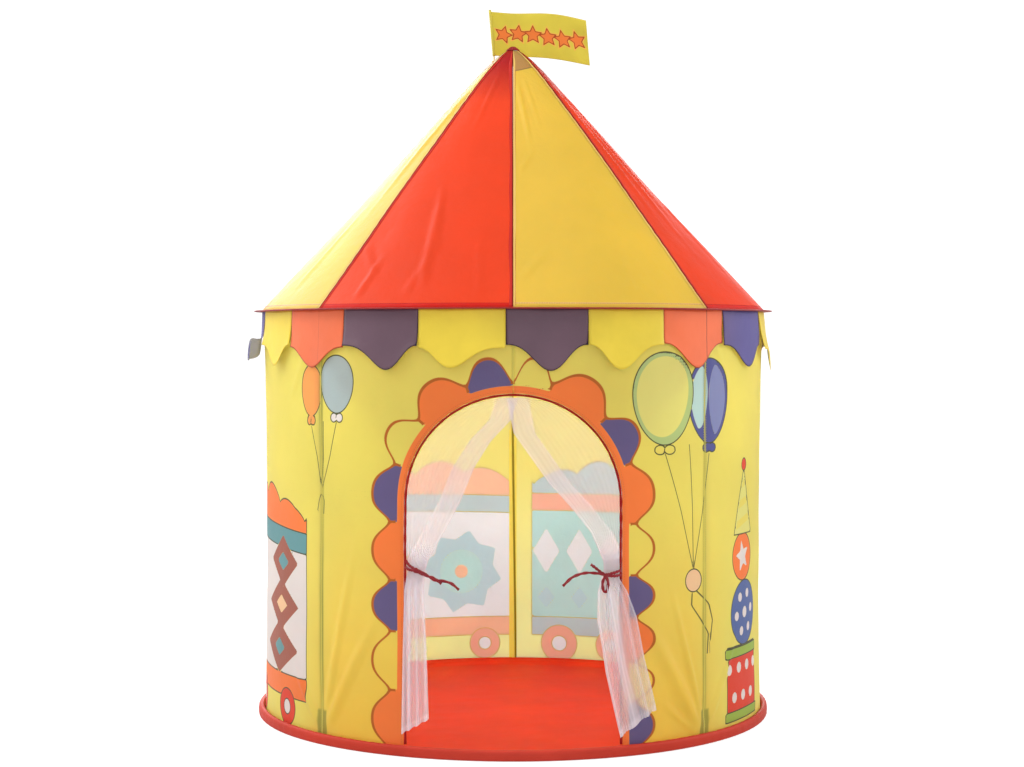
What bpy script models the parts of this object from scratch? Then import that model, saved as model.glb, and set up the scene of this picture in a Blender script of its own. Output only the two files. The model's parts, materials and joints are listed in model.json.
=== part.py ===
"""A child's pop-up play tent: a round printed wall between two sprung hoops, an eight-gore roof, four
sectional poles, a sewn floor, a round-headed doorway with two tied net curtains, a scalloped valance
and a small flag.

Units are metres, +Z is up, the doorway faces -Y and the origin is the middle of the floor's underside.
Angles round the tent are in degrees from the doorway's middle, positive towards +X.
"""

import math

import bmesh
import bpy
from mathutils import Vector

# Driving dimensions
EAVE_RADIUS = 0.525
BASE_RADIUS = 0.515
EAVE_HEIGHT = 0.803
APEX_HEIGHT = 1.3455
WALL_TOP_RADIUS = 0.505
WALL_FOOT_RADIUS = 0.5015
ROOF_FOOT_RADIUS = 0.507

FABRIC = 0.002
GAP = 0.0003
SEAM_GAP = 0.0006

EAVE_BINDING_WIDTH = 0.0218
EAVE_BINDING_THICKNESS = 0.0045
BASE_SLEEVE_WIDTH = 0.013
BASE_SLEEVE_HEIGHT = 0.020

RING_STEPS = 48
ARCH_STEPS = 24

DOOR_HALF_WIDTH = 0.1975
DOOR_SPRING_HEIGHT = 0.456
DOOR_BINDING_RADIUS = 0.0025
DOOR_CUT_FRONT = -0.6
DOOR_CUT_BACK = -0.3

POLE_ANGLES = {"front_left": -45.0, "front_right": 45.0, "back_right": 135.0, "back_left": -135.0}
POLE_RADIUS = 0.004
ELBOW_RADIUS = 0.0065
POLE_CLEARANCE = 0.0005
ELBOW_REACH = 0.030
POCKET_HEIGHT = 0.060
POCKET_HALF_WIDTH = 0.013
# How far a pocket's middle surface lies off the wall beside the pole, and at its sewn edges
POCKET_SEAT = 0.0016
POCKET_EDGE_SEAT = 0.0021
POCKET_PLAY = 0.0012
WEBBING = 0.0014
BACK_TAPE_WIDTH = 0.025
# The wall's inner face runs straight between its corners, so the flat tape needs this much room
BACK_TAPE_CLEARANCE = 0.0008

HUB_RADIUS = 0.024
HUB_DEPTH = 0.018
GORE_TIP_RADIUS = 0.008
CAP_RADIUS = 0.0135
CAP_THICKNESS = 0.003
CAP_ROUNDING = 0.0022

VALANCE_RADIUS = 0.5085
VALANCE_SIDE_DROP = 0.064
VALANCE_TIP_DROP = 0.105
VALANCE_FLAPS = 20
# The strip's ends meet a little beside the wall's back seam
VALANCE_TURN = -1.5
VALANCE_THICKNESS = 0.0014

CURTAIN_THICKNESS = 0.003
CURTAIN_RADIUS = 0.4985
CURTAIN_TOP = 0.640
WAIST_HEIGHT = 0.330
TIE_RADIUS = 0.002

FLAG_STAFF_X = -0.0385
FLAG_STAFF_Y = 0.035
FLAG_STAFF_RADIUS = 0.002
FLAG_LEAN = math.radians(5.0)
FLAG_TOP = 1.425
FLAG_HEIGHT = 0.092
FLAG_WIDTH = 0.197
FLAG_THICKNESS = 0.0012
FLAG_WAVE = 0.007
FLAG_DROOP = 0.0165
SOCKET_RADIUS = 0.005
SOCKET_TOP = 1.3235
SOCKET_DEPTH = 0.012

EAVE_TOP = EAVE_HEIGHT + EAVE_BINDING_THICKNESS
# The gores' outer face starts this far above the binding, as their thickness lies square to the slope
ROOF_FOOT_LIFT = GAP + 0.69 * FABRIC
ROOF_SLOPE = (APEX_HEIGHT - EAVE_TOP - ROOF_FOOT_LIFT) / ROOF_FOOT_RADIUS
ROOF_ANGLE = math.atan(ROOF_SLOPE)
# How strongly the poles bow the roof out of a straight cone
ROOF_BOW = 0.080
ROOF_POLE_STEPS = 10

# Name of a roof gore, and the angle where it starts
GORES = {
    "back_left": -180.0,
    "left_back": -135.0,
    "left_front": -90.0,
    "front_left": -45.0,
    "front_right": 0.0,
    "right_front": 45.0,
    "right_back": 90.0,
    "back_right": 135.0,
}
GORE_ANGLE = 45.0
GORE_STEPS = 6
GORE_ROWS = 8

# Name of a wall panel, and the angles of the seams at its two ends
WALLS = {
    "back_left": (-180.0, -135.0),
    "left": (-135.0, -45.0),
    "front_left": (-45.0, 0.0),
    "front_right": (0.0, 45.0),
    "right": (45.0, 135.0),
    "back_right": (135.0, 180.0),
}
WALL_STEP_ANGLE = 7.5


# Scene, collections and materials


def clear_scene():
    for obj in list(bpy.data.objects):
        bpy.data.objects.remove(obj, do_unlink=True)


def new_collection(name, shown):
    collection = bpy.data.collections.new(name)
    collection.hide_render = not shown
    bpy.context.scene.collection.children.link(collection)
    return collection


def new_material(name, colour, roughness, metallic=0.0):
    material = bpy.data.materials.new(name)
    material.use_nodes = True
    shader = material.node_tree.nodes["Principled BSDF"]
    shader.inputs["Base Color"].default_value = (*colour, 1.0)
    shader.inputs["Roughness"].default_value = roughness
    shader.inputs["Metallic"].default_value = metallic
    return material


def add_part(name, data, material):
    """A named object in the tent's collection, with its one material."""
    obj = bpy.data.objects.new(name, data)
    data.materials.append(material)
    parts.objects.link(obj)
    return obj


# Shapes


def around(radius, degrees, height):
    """The point at that radius, angle round the tent and height."""
    angle = math.radians(degrees)
    return Vector((radius * math.sin(angle), -radius * math.cos(angle), height))


def blend(a, b, share):
    return a + (b - a) * share


def sheet(name, place, columns, rows, thickness, material, inward=False):
    """A grid primitive bent by place(u, v), u and v from 0 to 1, and given its thickness by Solidify.

    The thickness is centred on the sheet, or with inward lies all behind it.
    """
    mesh = bpy.data.meshes.new(name)
    form = bmesh.new()
    bmesh.ops.create_grid(form, x_segments=columns, y_segments=rows, size=0.5)
    for vertex in form.verts:
        vertex.co = place(vertex.co.x + 0.5, vertex.co.y + 0.5)
    form.to_mesh(mesh)
    form.free()
    obj = add_part(name, mesh, material)
    solid = obj.modifiers.new("Thickness", "SOLIDIFY")
    solid.thickness = thickness
    solid.offset = -1.0 if inward else 0.0
    solid.use_even_offset = True
    return obj


def turned(name, profile, material, steps=RING_STEPS, closed=True):
    """A turned piece. profile is (radius, height) points running down the outer side.

    A closed profile makes a ring, and an open one starts and ends on the axis.
    """
    mesh = bpy.data.meshes.new(name)
    form = bmesh.new()
    corners = [form.verts.new((radius, 0.0, height)) for radius, height in profile]
    for first, second in zip(corners, corners[1:]):
        form.edges.new((first, second))
    if closed:
        form.edges.new((corners[-1], corners[0]))
    form.to_mesh(mesh)
    form.free()
    obj = add_part(name, mesh, material)
    screw = obj.modifiers.new("Turn", "SCREW")
    screw.steps = steps
    screw.render_steps = steps
    screw.use_merge_vertices = True
    screw.merge_threshold = 0.00001
    return obj


def rod(name, points, radius, material, resolution=2):
    """A round rod along the points, with closed ends."""
    curve = bpy.data.curves.new(name, "CURVE")
    curve.dimensions = "3D"
    curve.bevel_depth = radius
    curve.bevel_resolution = resolution
    curve.use_fill_caps = True
    spline = curve.splines.new("POLY")
    spline.points.add(len(points) - 1)
    for corner, point in zip(spline.points, points):
        corner.co = (*point, 1.0)
    return add_part(name, curve, material)


def prism(name, outline, low, high):
    """A cutter along Y: the (x, z) outline, anticlockwise seen from -Y, between y low and y high."""
    mesh = bpy.data.meshes.new(name)
    form = bmesh.new()
    face = form.faces.new([form.verts.new((x, low, z)) for x, z in outline])
    grown = bmesh.ops.extrude_face_region(form, geom=[face])
    moved = [item for item in grown["geom"] if isinstance(item, bmesh.types.BMVert)]
    bmesh.ops.translate(form, verts=moved, vec=(0.0, high - low, 0.0))
    bmesh.ops.recalc_face_normals(form, faces=form.faces)
    form.to_mesh(mesh)
    form.free()
    return add_cutter(name, mesh)


def round_cutter(name, low_radius, high_radius, low, high, place, lean=0.0):
    """A cylinder or cone cutter at place = (x, y) between two heights, leaning towards -X."""
    mesh = bpy.data.meshes.new(name)
    form = bmesh.new()
    bmesh.ops.create_cone(
        form,
        cap_ends=True,
        segments=RING_STEPS,
        radius1=low_radius,
        radius2=high_radius,
        depth=high - low,
    )
    form.to_mesh(mesh)
    form.free()
    obj = add_cutter(name, mesh)
    obj.location = (*place, (low + high) / 2)
    obj.rotation_euler = (0.0, -lean, 0.0)
    return obj


def add_cutter(name, mesh):
    obj = bpy.data.objects.new(name, mesh)
    obj.hide_render = True
    obj.display_type = "WIRE"
    cutters.objects.link(obj)
    return obj


def cut(obj, cutter):
    boolean = obj.modifiers.new("Cut " + cutter.name, "BOOLEAN")
    boolean.operation = "DIFFERENCE"
    boolean.object = cutter


# Outlines that several pieces share


def wall_radius(height):
    """The wall's outer face, which leans out very slightly towards the eave."""
    return blend(WALL_FOOT_RADIUS, WALL_TOP_RADIUS, height / EAVE_HEIGHT)


def roof_height(radius):
    """The roof's outer face: a cone that the poles bow outwards, most near its blunt tip."""
    share = radius / ROOF_FOOT_RADIUS
    bow = ROOF_BOW * share**0.6 * (1.0 - share) ** 2.3
    return APEX_HEIGHT - ROOF_SLOPE * radius + bow


def arch_half_width(height, inset):
    """Half the doorway's width at that height, inside an edge that is inset all round."""
    radius = DOOR_HALF_WIDTH - inset
    rise = max(0.0, height - DOOR_SPRING_HEIGHT)
    return math.sqrt(max(0.0, radius**2 - rise**2))


def arch_path(inset, foot, arc_steps):
    """(x, z) points up one jamb, round the arch and down the other."""
    radius = DOOR_HALF_WIDTH - inset
    path = [(-radius, foot)]
    for step in range(arc_steps + 1):
        angle = math.pi - math.pi * step / arc_steps
        path.append((radius * math.cos(angle), DOOR_SPRING_HEIGHT + radius * math.sin(angle)))
    path.append((radius, foot))
    return path


def on_wall(x, height, depth):
    """The point of the front wall at that x and height, depth behind the wall's outer face."""
    radius = wall_radius(height) - depth
    return Vector((x, -math.sqrt(radius**2 - x**2), height))


# Floor, hoops and walls


def build_floor():
    radius = BASE_RADIUS - BASE_SLEEVE_WIDTH - GAP
    profile = [(0.0, FABRIC), (radius, FABRIC), (radius, 0.0), (0.0, 0.0)]
    turned("floor_sheet", profile, red_cloth, closed=False)


def build_base_sleeve():
    """The red sleeve round the sprung base hoop, a little taller than wide, with soft corners."""
    inner = BASE_RADIUS - BASE_SLEEVE_WIDTH
    soft = 0.004
    profile = [
        (inner, BASE_SLEEVE_HEIGHT - soft),
        (inner + soft, BASE_SLEEVE_HEIGHT),
        (BASE_RADIUS - soft, BASE_SLEEVE_HEIGHT),
        (BASE_RADIUS, BASE_SLEEVE_HEIGHT - soft),
        (BASE_RADIUS, soft),
        (BASE_RADIUS - soft, 0.0),
        (inner, 0.0),
    ]
    turned("base_hoop_sleeve", profile, red_trim)


def build_eave_binding():
    """The flat red binding that holds the eave hoop and sticks out past the wall."""
    inner = EAVE_RADIUS - EAVE_BINDING_WIDTH
    soft = 0.002
    profile = [
        (inner, EAVE_TOP),
        (EAVE_RADIUS - soft, EAVE_TOP),
        (EAVE_RADIUS, EAVE_TOP - soft),
        (EAVE_RADIUS, EAVE_HEIGHT + soft),
        (EAVE_RADIUS - soft, EAVE_HEIGHT),
        (inner, EAVE_HEIGHT),
    ]
    turned("eave_hoop_binding", profile, red_trim)


def build_walls():
    foot = FABRIC + GAP
    top = EAVE_HEIGHT - GAP
    half_gap = math.degrees(SEAM_GAP / 2 / WALL_FOOT_RADIUS)
    outline = arch_path(0.0, -BASE_SLEEVE_HEIGHT, ARCH_STEPS)
    doorway = prism("doorway", outline, DOOR_CUT_FRONT, DOOR_CUT_BACK)
    for name, (start, end) in WALLS.items():

        def place(u, v, start=start, end=end):
            degrees = blend(start + half_gap, end - half_gap, u)
            height = blend(foot, top, v)
            return around(wall_radius(height), degrees, height)

        columns = round((end - start) / WALL_STEP_ANGLE)
        panel = sheet("wall_" + name, place, columns, 4, FABRIC, wall_cloth, inward=True)
        if name in ("front_left", "front_right"):
            cut(panel, doorway)


def build_back_seam_tape():
    """The tape that closes the wall's back seam, on its inner face."""
    foot = FABRIC + 2 * GAP
    top = EAVE_HEIGHT - 2 * GAP
    half_width = math.degrees(BACK_TAPE_WIDTH / 2 / WALL_FOOT_RADIUS)

    def place(u, v):
        height = blend(foot, top, v)
        radius = wall_radius(height) - FABRIC - BACK_TAPE_CLEARANCE - WEBBING / 2
        return around(radius, 180.0 + blend(-half_width, half_width, u), height)

    sheet("back_seam_tape", place, 2, 2, WEBBING, wall_cloth)


def build_door_binding():
    inset = DOOR_BINDING_RADIUS + GAP
    foot = BASE_SLEEVE_HEIGHT + GAP
    path = []
    for x, height in arch_path(inset, foot, ARCH_STEPS):
        path.append(on_wall(x, height, FABRIC / 2))
    rod("door_binding", path, DOOR_BINDING_RADIUS, red_trim)


def build_valance():
    """A scalloped strip that hangs from the eave binding a little off the wall, its ends at the back."""
    flap_angle = 360.0 / VALANCE_FLAPS
    top = EAVE_HEIGHT - GAP
    half_gap = math.degrees(SEAM_GAP / 2 / VALANCE_RADIUS)
    columns_per_flap = 6

    def drop(degrees):
        """A flap's lower edge is straight down at its sides and rounded to a tip in the middle."""
        across = abs(2 * (((degrees - VALANCE_TURN) / flap_angle) % 1.0) - 1.0)
        tip = (0.5 + 0.5 * math.cos(math.pi * across)) ** 1.35
        return blend(VALANCE_SIDE_DROP, VALANCE_TIP_DROP, tip)

    def place(u, v):
        degrees = VALANCE_TURN + blend(half_gap - 180.0, 180.0 - half_gap, u)
        return around(VALANCE_RADIUS, degrees, top - drop(degrees) * (1.0 - v))

    sheet("valance", place, columns_per_flap * VALANCE_FLAPS, 1, VALANCE_THICKNESS, valance_cloth)


# Roof


def build_gores():
    """Eight gores, alternately red and yellow, sewn edge to edge. Their rows close up to the tip."""
    for index, (name, start) in enumerate(GORES.items()):

        def place(u, v, start=start):
            radius = blend(GORE_TIP_RADIUS, ROOF_FOOT_RADIUS, (1.0 - v) ** 1.8)
            half_gap = math.degrees(SEAM_GAP / 2 / radius)
            degrees = blend(start + half_gap, start + GORE_ANGLE - half_gap, u)
            return around(radius, degrees, roof_height(radius))

        cloth = red_cloth if index % 2 else yellow_cloth
        sheet("roof_gore_" + name, place, GORE_STEPS, GORE_ROWS, FABRIC, cloth, inward=True)


def build_apex():
    """The moulded hub under the gore tips that takes the four poles, and the small cap over them."""
    fabric_depth = FABRIC / math.cos(ROOF_ANGLE)
    below = fabric_depth + 2 * GAP
    hub_top = roof_height(GORE_TIP_RADIUS) - below
    hub_edge = roof_height(HUB_RADIUS) - below
    hub = [
        (0.0, hub_top),
        (GORE_TIP_RADIUS, hub_top),
        (HUB_RADIUS, hub_edge),
        (HUB_RADIUS, hub_edge - HUB_DEPTH),
        (0.0, hub_edge - HUB_DEPTH),
    ]
    turned("apex_hub", hub, moulding, steps=24, closed=False)

    seat = roof_height(CAP_RADIUS) + GAP
    tip_seat = roof_height(GORE_TIP_RADIUS) + GAP
    cap = [
        (0.0, APEX_HEIGHT + CAP_THICKNESS),
        (CAP_RADIUS * 0.55, APEX_HEIGHT + CAP_THICKNESS - CAP_ROUNDING),
        (CAP_RADIUS, seat + CAP_THICKNESS / 2),
        (CAP_RADIUS, seat),
        (GORE_TIP_RADIUS, tip_seat),
        (0.0, tip_seat),
    ]
    turned("apex_cap", cap, red_trim, steps=24, closed=False)


# Poles


def pole_axis(height):
    """How far from the tent's middle a wall pole stands, inside the wall by an elbow's radius."""
    return wall_radius(height) - FABRIC - POLE_CLEARANCE - ELBOW_RADIUS


def rafter_axis(radius):
    """The height of a roof pole's axis, under the roof by an elbow's radius."""
    depth = FABRIC + POLE_CLEARANCE + ELBOW_RADIUS
    return roof_height(radius) - depth / math.cos(ROOF_ANGLE)


def build_poles():
    corner_radius = pole_axis(EAVE_HEIGHT)
    corner_height = rafter_axis(corner_radius)
    elbow_foot = corner_height - ELBOW_REACH
    elbow_head = corner_radius - ELBOW_REACH * math.cos(ROOF_ANGLE)
    hub_face = HUB_RADIUS + 2 * GAP + POLE_RADIUS * math.sin(ROOF_ANGLE)
    bend = ELBOW_REACH / 3
    seat = GAP / math.sin(ROOF_ANGLE)
    for name, degrees in POLE_ANGLES.items():
        foot = FABRIC + GAP
        wall_pole = [
            around(pole_axis(foot), degrees, foot),
            around(pole_axis(elbow_foot), degrees, elbow_foot - GAP),
        ]
        rod("wall_pole_" + name, wall_pole, POLE_RADIUS, pole_finish)

        near = corner_radius - bend * math.cos(ROOF_ANGLE)
        elbow = [
            around(pole_axis(elbow_foot), degrees, elbow_foot),
            around(corner_radius, degrees, corner_height - bend),
            around(blend(corner_radius, near, 0.35), degrees, corner_height - bend * 0.12),
            around(near, degrees, rafter_axis(near)),
            around(elbow_head, degrees, rafter_axis(elbow_head)),
        ]
        rod("eave_elbow_" + name, elbow, ELBOW_RADIUS, moulding)

        start = elbow_head - seat
        roof_pole = []
        for step in range(ROOF_POLE_STEPS + 1):
            radius = blend(start, hub_face, step / ROOF_POLE_STEPS)
            roof_pole.append(around(radius, degrees, rafter_axis(radius)))
        rod("roof_pole_" + name, roof_pole, POLE_RADIUS, pole_finish)


def build_pockets():
    """Webbing pockets sewn inside the wall round the feet of the poles."""
    foot = FABRIC + 2 * GAP
    side = POLE_RADIUS + POCKET_PLAY
    back = POLE_CLEARANCE + ELBOW_RADIUS + side
    outline = [
        (-POCKET_HALF_WIDTH, POCKET_EDGE_SEAT),
        (-side, POCKET_SEAT),
        (-side, back),
        (side, back),
        (side, POCKET_SEAT),
        (POCKET_HALF_WIDTH, POCKET_EDGE_SEAT),
    ]
    for name, degrees in POLE_ANGLES.items():
        angle = math.radians(degrees)
        outward = Vector((math.sin(angle), -math.cos(angle), 0.0))
        across = Vector((math.cos(angle), math.sin(angle), 0.0))

        def place(u, v, outward=outward, across=across):
            sideways, inward = outline[round(u * (len(outline) - 1))]
            height = blend(foot, foot + POCKET_HEIGHT, v)
            inner_face = wall_radius(height) - FABRIC
            return outward * (inner_face - inward) + across * sideways + Vector((0, 0, height))

        sheet("pole_pocket_" + name, place, len(outline) - 1, 1, WEBBING, webbing)


# Curtains, ties and flag


def build_curtains():
    """Net curtains sewn into the arch, drawn to the jambs at the waist and falling to the floor.

    Each row is (height at the jamb side, height at the free side, x at the jamb side, x at the free
    side, radius at the jamb side, radius at the free side), for the curtain on the +X side.
    """
    edge = 2 * (DOOR_BINDING_RADIUS + GAP) + GAP
    jamb = DOOR_HALF_WIDTH - edge
    plane = CURTAIN_RADIUS
    waist = {"right": (WAIST_HEIGHT, WAIST_HEIGHT, jamb, 0.165, plane, plane)}
    waist["left"] = (WAIST_HEIGHT, WAIST_HEIGHT, jamb, 0.168, plane, plane)
    fall = {
        "right": [
            (0.315, 0.315, jamb - 0.002, 0.158, 0.505, 0.503),
            (0.298, 0.300, 0.205, 0.153, 0.512, 0.509),
            (0.250, 0.252, 0.222, 0.151, 0.514, 0.511),
            (0.170, 0.160, 0.238, 0.165, 0.519, 0.517),
            (0.094, 0.042, 0.258, 0.193, 0.523, 0.520),
        ],
        "left": [
            (0.300, 0.300, jamb, 0.160, plane, plane),
            (0.200, 0.200, jamb, 0.153, plane, plane),
            (0.045, 0.084, jamb, 0.149, plane, plane),
        ],
    }
    free_top = 0.006
    upper_rows = 7
    for name, side in (("left", -1.0), ("right", 1.0)):
        rows = []
        for step in range(upper_rows):
            height = blend(CURTAIN_TOP, WAIST_HEIGHT, step / upper_rows)
            free = blend(free_top, waist[name][3], step / upper_rows)
            outer = arch_half_width(height, edge)
            rows.append((height, height, outer, free, plane, plane))
        rows += [waist[name], *fall[name]]

        def place(u, v, rows=rows, side=side):
            row = rows[round(v * (len(rows) - 1))]
            height = blend(row[0], row[1], u)
            x = blend(row[2], row[3], u)
            radius = blend(row[4], row[5], u)
            return Vector((side * x, -math.sqrt(radius**2 - x**2), height))

        sheet("curtain_" + name, place, 5, len(rows) - 1, CURTAIN_THICKNESS, net)


def build_ties():
    """The ribbon that ties each curtain to its jamb, out to the end of its longer tail."""
    radius = CURTAIN_RADIUS + CURTAIN_THICKNESS / 2 + GAP + TIE_RADIUS
    jamb = 0.1885
    routes = {
        "tie_left": [
            (-jamb, 0.345, radius),
            (-0.172, 0.339, radius),
            (-0.142, 0.325, radius),
            (-0.126, 0.316, radius),
            (-0.110, 0.312, radius),
            (-0.0975, 0.3034, radius),
        ],
        "tie_right": [
            (jamb, 0.338, radius),
            (0.174, 0.338, radius),
            (0.163, 0.337, radius),
            (0.138, 0.333, radius),
            (0.108, 0.324, radius),
            (0.0885, 0.3106, radius),
        ],
    }
    for name, route in routes.items():
        path = [Vector((x, -math.sqrt(r**2 - x**2), z)) for x, z, r in route]
        rod(name, path, TIE_RADIUS, ribbon)


def staff_at(height):
    """The staff's axis at that height. It leans a little towards -X."""
    return Vector((FLAG_STAFF_X - math.tan(FLAG_LEAN) * (height - SOCKET_TOP), FLAG_STAFF_Y, height))


def build_flag():
    staff_foot = SOCKET_TOP - SOCKET_DEPTH
    out = math.hypot(FLAG_STAFF_X, FLAG_STAFF_Y)
    socket_low = roof_height(out) - 2 * SOCKET_RADIUS

    staff = [staff_at(staff_foot), staff_at(FLAG_TOP + 0.003)]
    rod("flag_staff", staff, FLAG_STAFF_RADIUS, pole_finish)

    bore_low = staff_foot - GAP
    bore_high = SOCKET_TOP + SOCKET_DEPTH
    bore_middle = staff_at((bore_low + bore_high) / 2)
    bore = round_cutter(
        "staff_bore",
        FLAG_STAFF_RADIUS + GAP,
        FLAG_STAFF_RADIUS + GAP,
        bore_low,
        bore_high,
        bore_middle.xy,
        FLAG_LEAN,
    )
    # The socket is cut to the roof by the cone that touches it there
    slope = (roof_height(out - SOCKET_RADIUS) - roof_height(out + SOCKET_RADIUS)) / (2 * SOCKET_RADIUS)
    cone_low = roof_height(out) - 8 * SOCKET_RADIUS
    cone_high = roof_height(out) + slope * out + 2 * GAP
    cone_radius = (cone_high - cone_low) / slope
    cone = round_cutter("roof_cone", cone_radius, 0.0, cone_low, cone_high, (0.0, 0.0))
    mesh = bpy.data.meshes.new("flag_socket")
    form = bmesh.new()
    bmesh.ops.create_cone(
        form,
        cap_ends=True,
        segments=16,
        radius1=SOCKET_RADIUS,
        radius2=SOCKET_RADIUS,
        depth=(SOCKET_TOP - socket_low) / math.cos(FLAG_LEAN),
    )
    form.to_mesh(mesh)
    form.free()
    socket = add_part("flag_socket", mesh, yellow_cloth)
    socket.location = staff_at((SOCKET_TOP + socket_low) / 2)
    socket.rotation_euler = (0.0, -FLAG_LEAN, 0.0)
    cut(socket, cone)
    cut(socket, bore)

    def place(u, v):
        """The flag waves a little in depth, and its fly end droops."""
        height = FLAG_TOP - FLAG_HEIGHT * (1.0 - v)
        x = staff_at(height).x + FLAG_STAFF_RADIUS + 2 * GAP + FLAG_WIDTH * u
        y = FLAG_STAFF_Y + FLAG_WAVE * math.sin(2.2 * math.pi * u)
        return Vector((x, y, height - FLAG_DROOP * u**2))

    sheet("flag", place, 8, 2, FLAG_THICKNESS, yellow_cloth)


clear_scene()
parts = new_collection("play_tent", shown=True)
cutters = new_collection("cutters", shown=False)

red_cloth = new_material("red_polyester", (0.83, 0.065, 0.02), 0.55)
yellow_cloth = new_material("yellow_polyester", (0.87, 0.58, 0.06), 0.55)
wall_cloth = new_material("printed_yellow_polyester", (0.87, 0.72, 0.12), 0.6)
valance_cloth = new_material("valance_polyester", (0.85, 0.25, 0.06), 0.6)
red_trim = new_material("red_binding", (0.62, 0.025, 0.02), 0.6)
net = new_material("white_net", (0.92, 0.9, 0.92), 0.7)
ribbon = new_material("red_ribbon", (0.42, 0.01, 0.02), 0.45)
pole_finish = new_material("pole_tube", (0.16, 0.22, 0.26), 0.4)
moulding = new_material("black_moulding", (0.04, 0.04, 0.045), 0.5)
webbing = new_material("dark_webbing", (0.05, 0.07, 0.08), 0.8)

build_floor()
build_base_sleeve()
build_eave_binding()
build_walls()
build_back_seam_tape()
build_door_binding()
build_valance()
build_gores()
build_apex()
build_poles()
build_pockets()
build_curtains()
build_ties()
build_flag()
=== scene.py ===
"""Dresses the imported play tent: printed cloth wall, gored roof, valance, net curtains, ribbons and flag.

Metres, +Z up, the doorway faces -Y. Angles round the tent are in degrees from the doorway's middle,
positive towards +X.
"""

import json
import math

import bmesh
import bpy
import numpy as np
from bpy.props import FloatProperty, FloatVectorProperty, PointerProperty
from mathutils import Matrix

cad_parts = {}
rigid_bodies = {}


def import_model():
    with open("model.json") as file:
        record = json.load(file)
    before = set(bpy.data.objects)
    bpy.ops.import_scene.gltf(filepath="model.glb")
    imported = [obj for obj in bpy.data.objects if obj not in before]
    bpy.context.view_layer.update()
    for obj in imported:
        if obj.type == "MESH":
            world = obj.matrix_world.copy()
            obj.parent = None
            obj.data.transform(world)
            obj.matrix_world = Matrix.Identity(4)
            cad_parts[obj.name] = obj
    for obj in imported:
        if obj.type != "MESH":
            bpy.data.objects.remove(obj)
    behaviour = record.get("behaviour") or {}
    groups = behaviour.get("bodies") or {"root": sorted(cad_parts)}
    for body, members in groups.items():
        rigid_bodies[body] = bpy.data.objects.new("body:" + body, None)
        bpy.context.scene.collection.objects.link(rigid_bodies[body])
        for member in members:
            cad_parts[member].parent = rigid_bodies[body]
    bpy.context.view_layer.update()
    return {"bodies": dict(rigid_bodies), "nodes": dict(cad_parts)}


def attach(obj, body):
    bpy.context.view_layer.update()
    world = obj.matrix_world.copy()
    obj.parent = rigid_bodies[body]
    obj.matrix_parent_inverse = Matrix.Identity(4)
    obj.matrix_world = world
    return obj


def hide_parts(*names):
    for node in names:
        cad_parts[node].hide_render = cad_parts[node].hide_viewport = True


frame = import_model()

bl_info = {
    "name": "Play tent",
    "version": (1, 0, 0),
    "blender": (4, 5, 0),
    "location": "3D View > Sidebar > Play tent",
    "description": "Builds the cloth, trim and print of a child's play tent",
    "category": "Object",
}

# Main lines of the tent, in metres
WALL_HEIGHT = 0.803
WALL_FOOT_RADIUS = 0.5015
WALL_TOP_RADIUS = 0.505
DOOR_RADIUS = 0.1975
DOOR_SPRING = 0.456
EAVE_RADIUS = 0.525
EAVE_INNER = 0.5035
EAVE_TOP = 0.8073
APEX_HEIGHT = 1.3455
ROOF_FOOT_RADIUS = 0.507
ROOF_FOOT_HEIGHT = 0.80918
ROOF_SLOPE = (APEX_HEIGHT - ROOF_FOOT_HEIGHT) / ROOF_FOOT_RADIUS
ROOF_ANGLE = math.atan(ROOF_SLOPE)
BASE_RADIUS = 0.515
BASE_WIDTH = 0.013
BASE_HEIGHT = 0.020
FLOOR_TOP = 0.002
POLE_ANGLES = {"front_left": -45.0, "front_right": 45.0, "back_right": 135.0, "back_left": -135.0}
WALLS = {
    "back_left": (-180.0, -135.0),
    "left": (-135.0, -45.0),
    "front_left": (-45.0, 0.0),
    "front_right": (0.0, 45.0),
    "right": (45.0, 135.0),
    "back_right": (135.0, 180.0),
}
GORES = {
    "back_left": (-180.0, "yellow"),
    "left_back": (-135.0, "red"),
    "left_front": (-90.0, "yellow"),
    "front_left": (-45.0, "red"),
    "front_right": (0.0, "yellow"),
    "right_front": (45.0, "red"),
    "right_back": (90.0, "yellow"),
    "back_right": (135.0, "red"),
}
ROOF_HEM_RADIUS = ROOF_FOOT_RADIUS + 0.0022
VALANCE_RADIUS = 0.5083

# How far apart the points of a printed wall panel's mesh are
GRID = 0.0050
# The gap between a panel's edge and the seam it is sewn into
SEAM_GAP = 0.0003
# How far seams, tapes and stitches stand off the cloth
PROUD = 0.0002


def srgb(red, green, blue):
    """A colour given as 0 to 255 display values, in Blender's linear values."""
    shares = [value / 255.0 for value in (red, green, blue)]
    return tuple(c / 12.92 if c <= 0.04045 else ((c + 0.055) / 1.055) ** 2.4 for c in shares)


def darker(colour, share):
    return tuple(np.array(colour) * share)


def colour_prop(name, description, default):
    return FloatVectorProperty(
        name=name, description=description, default=default, subtype="COLOR", size=3, min=0.0, max=1.0
    )


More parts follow.
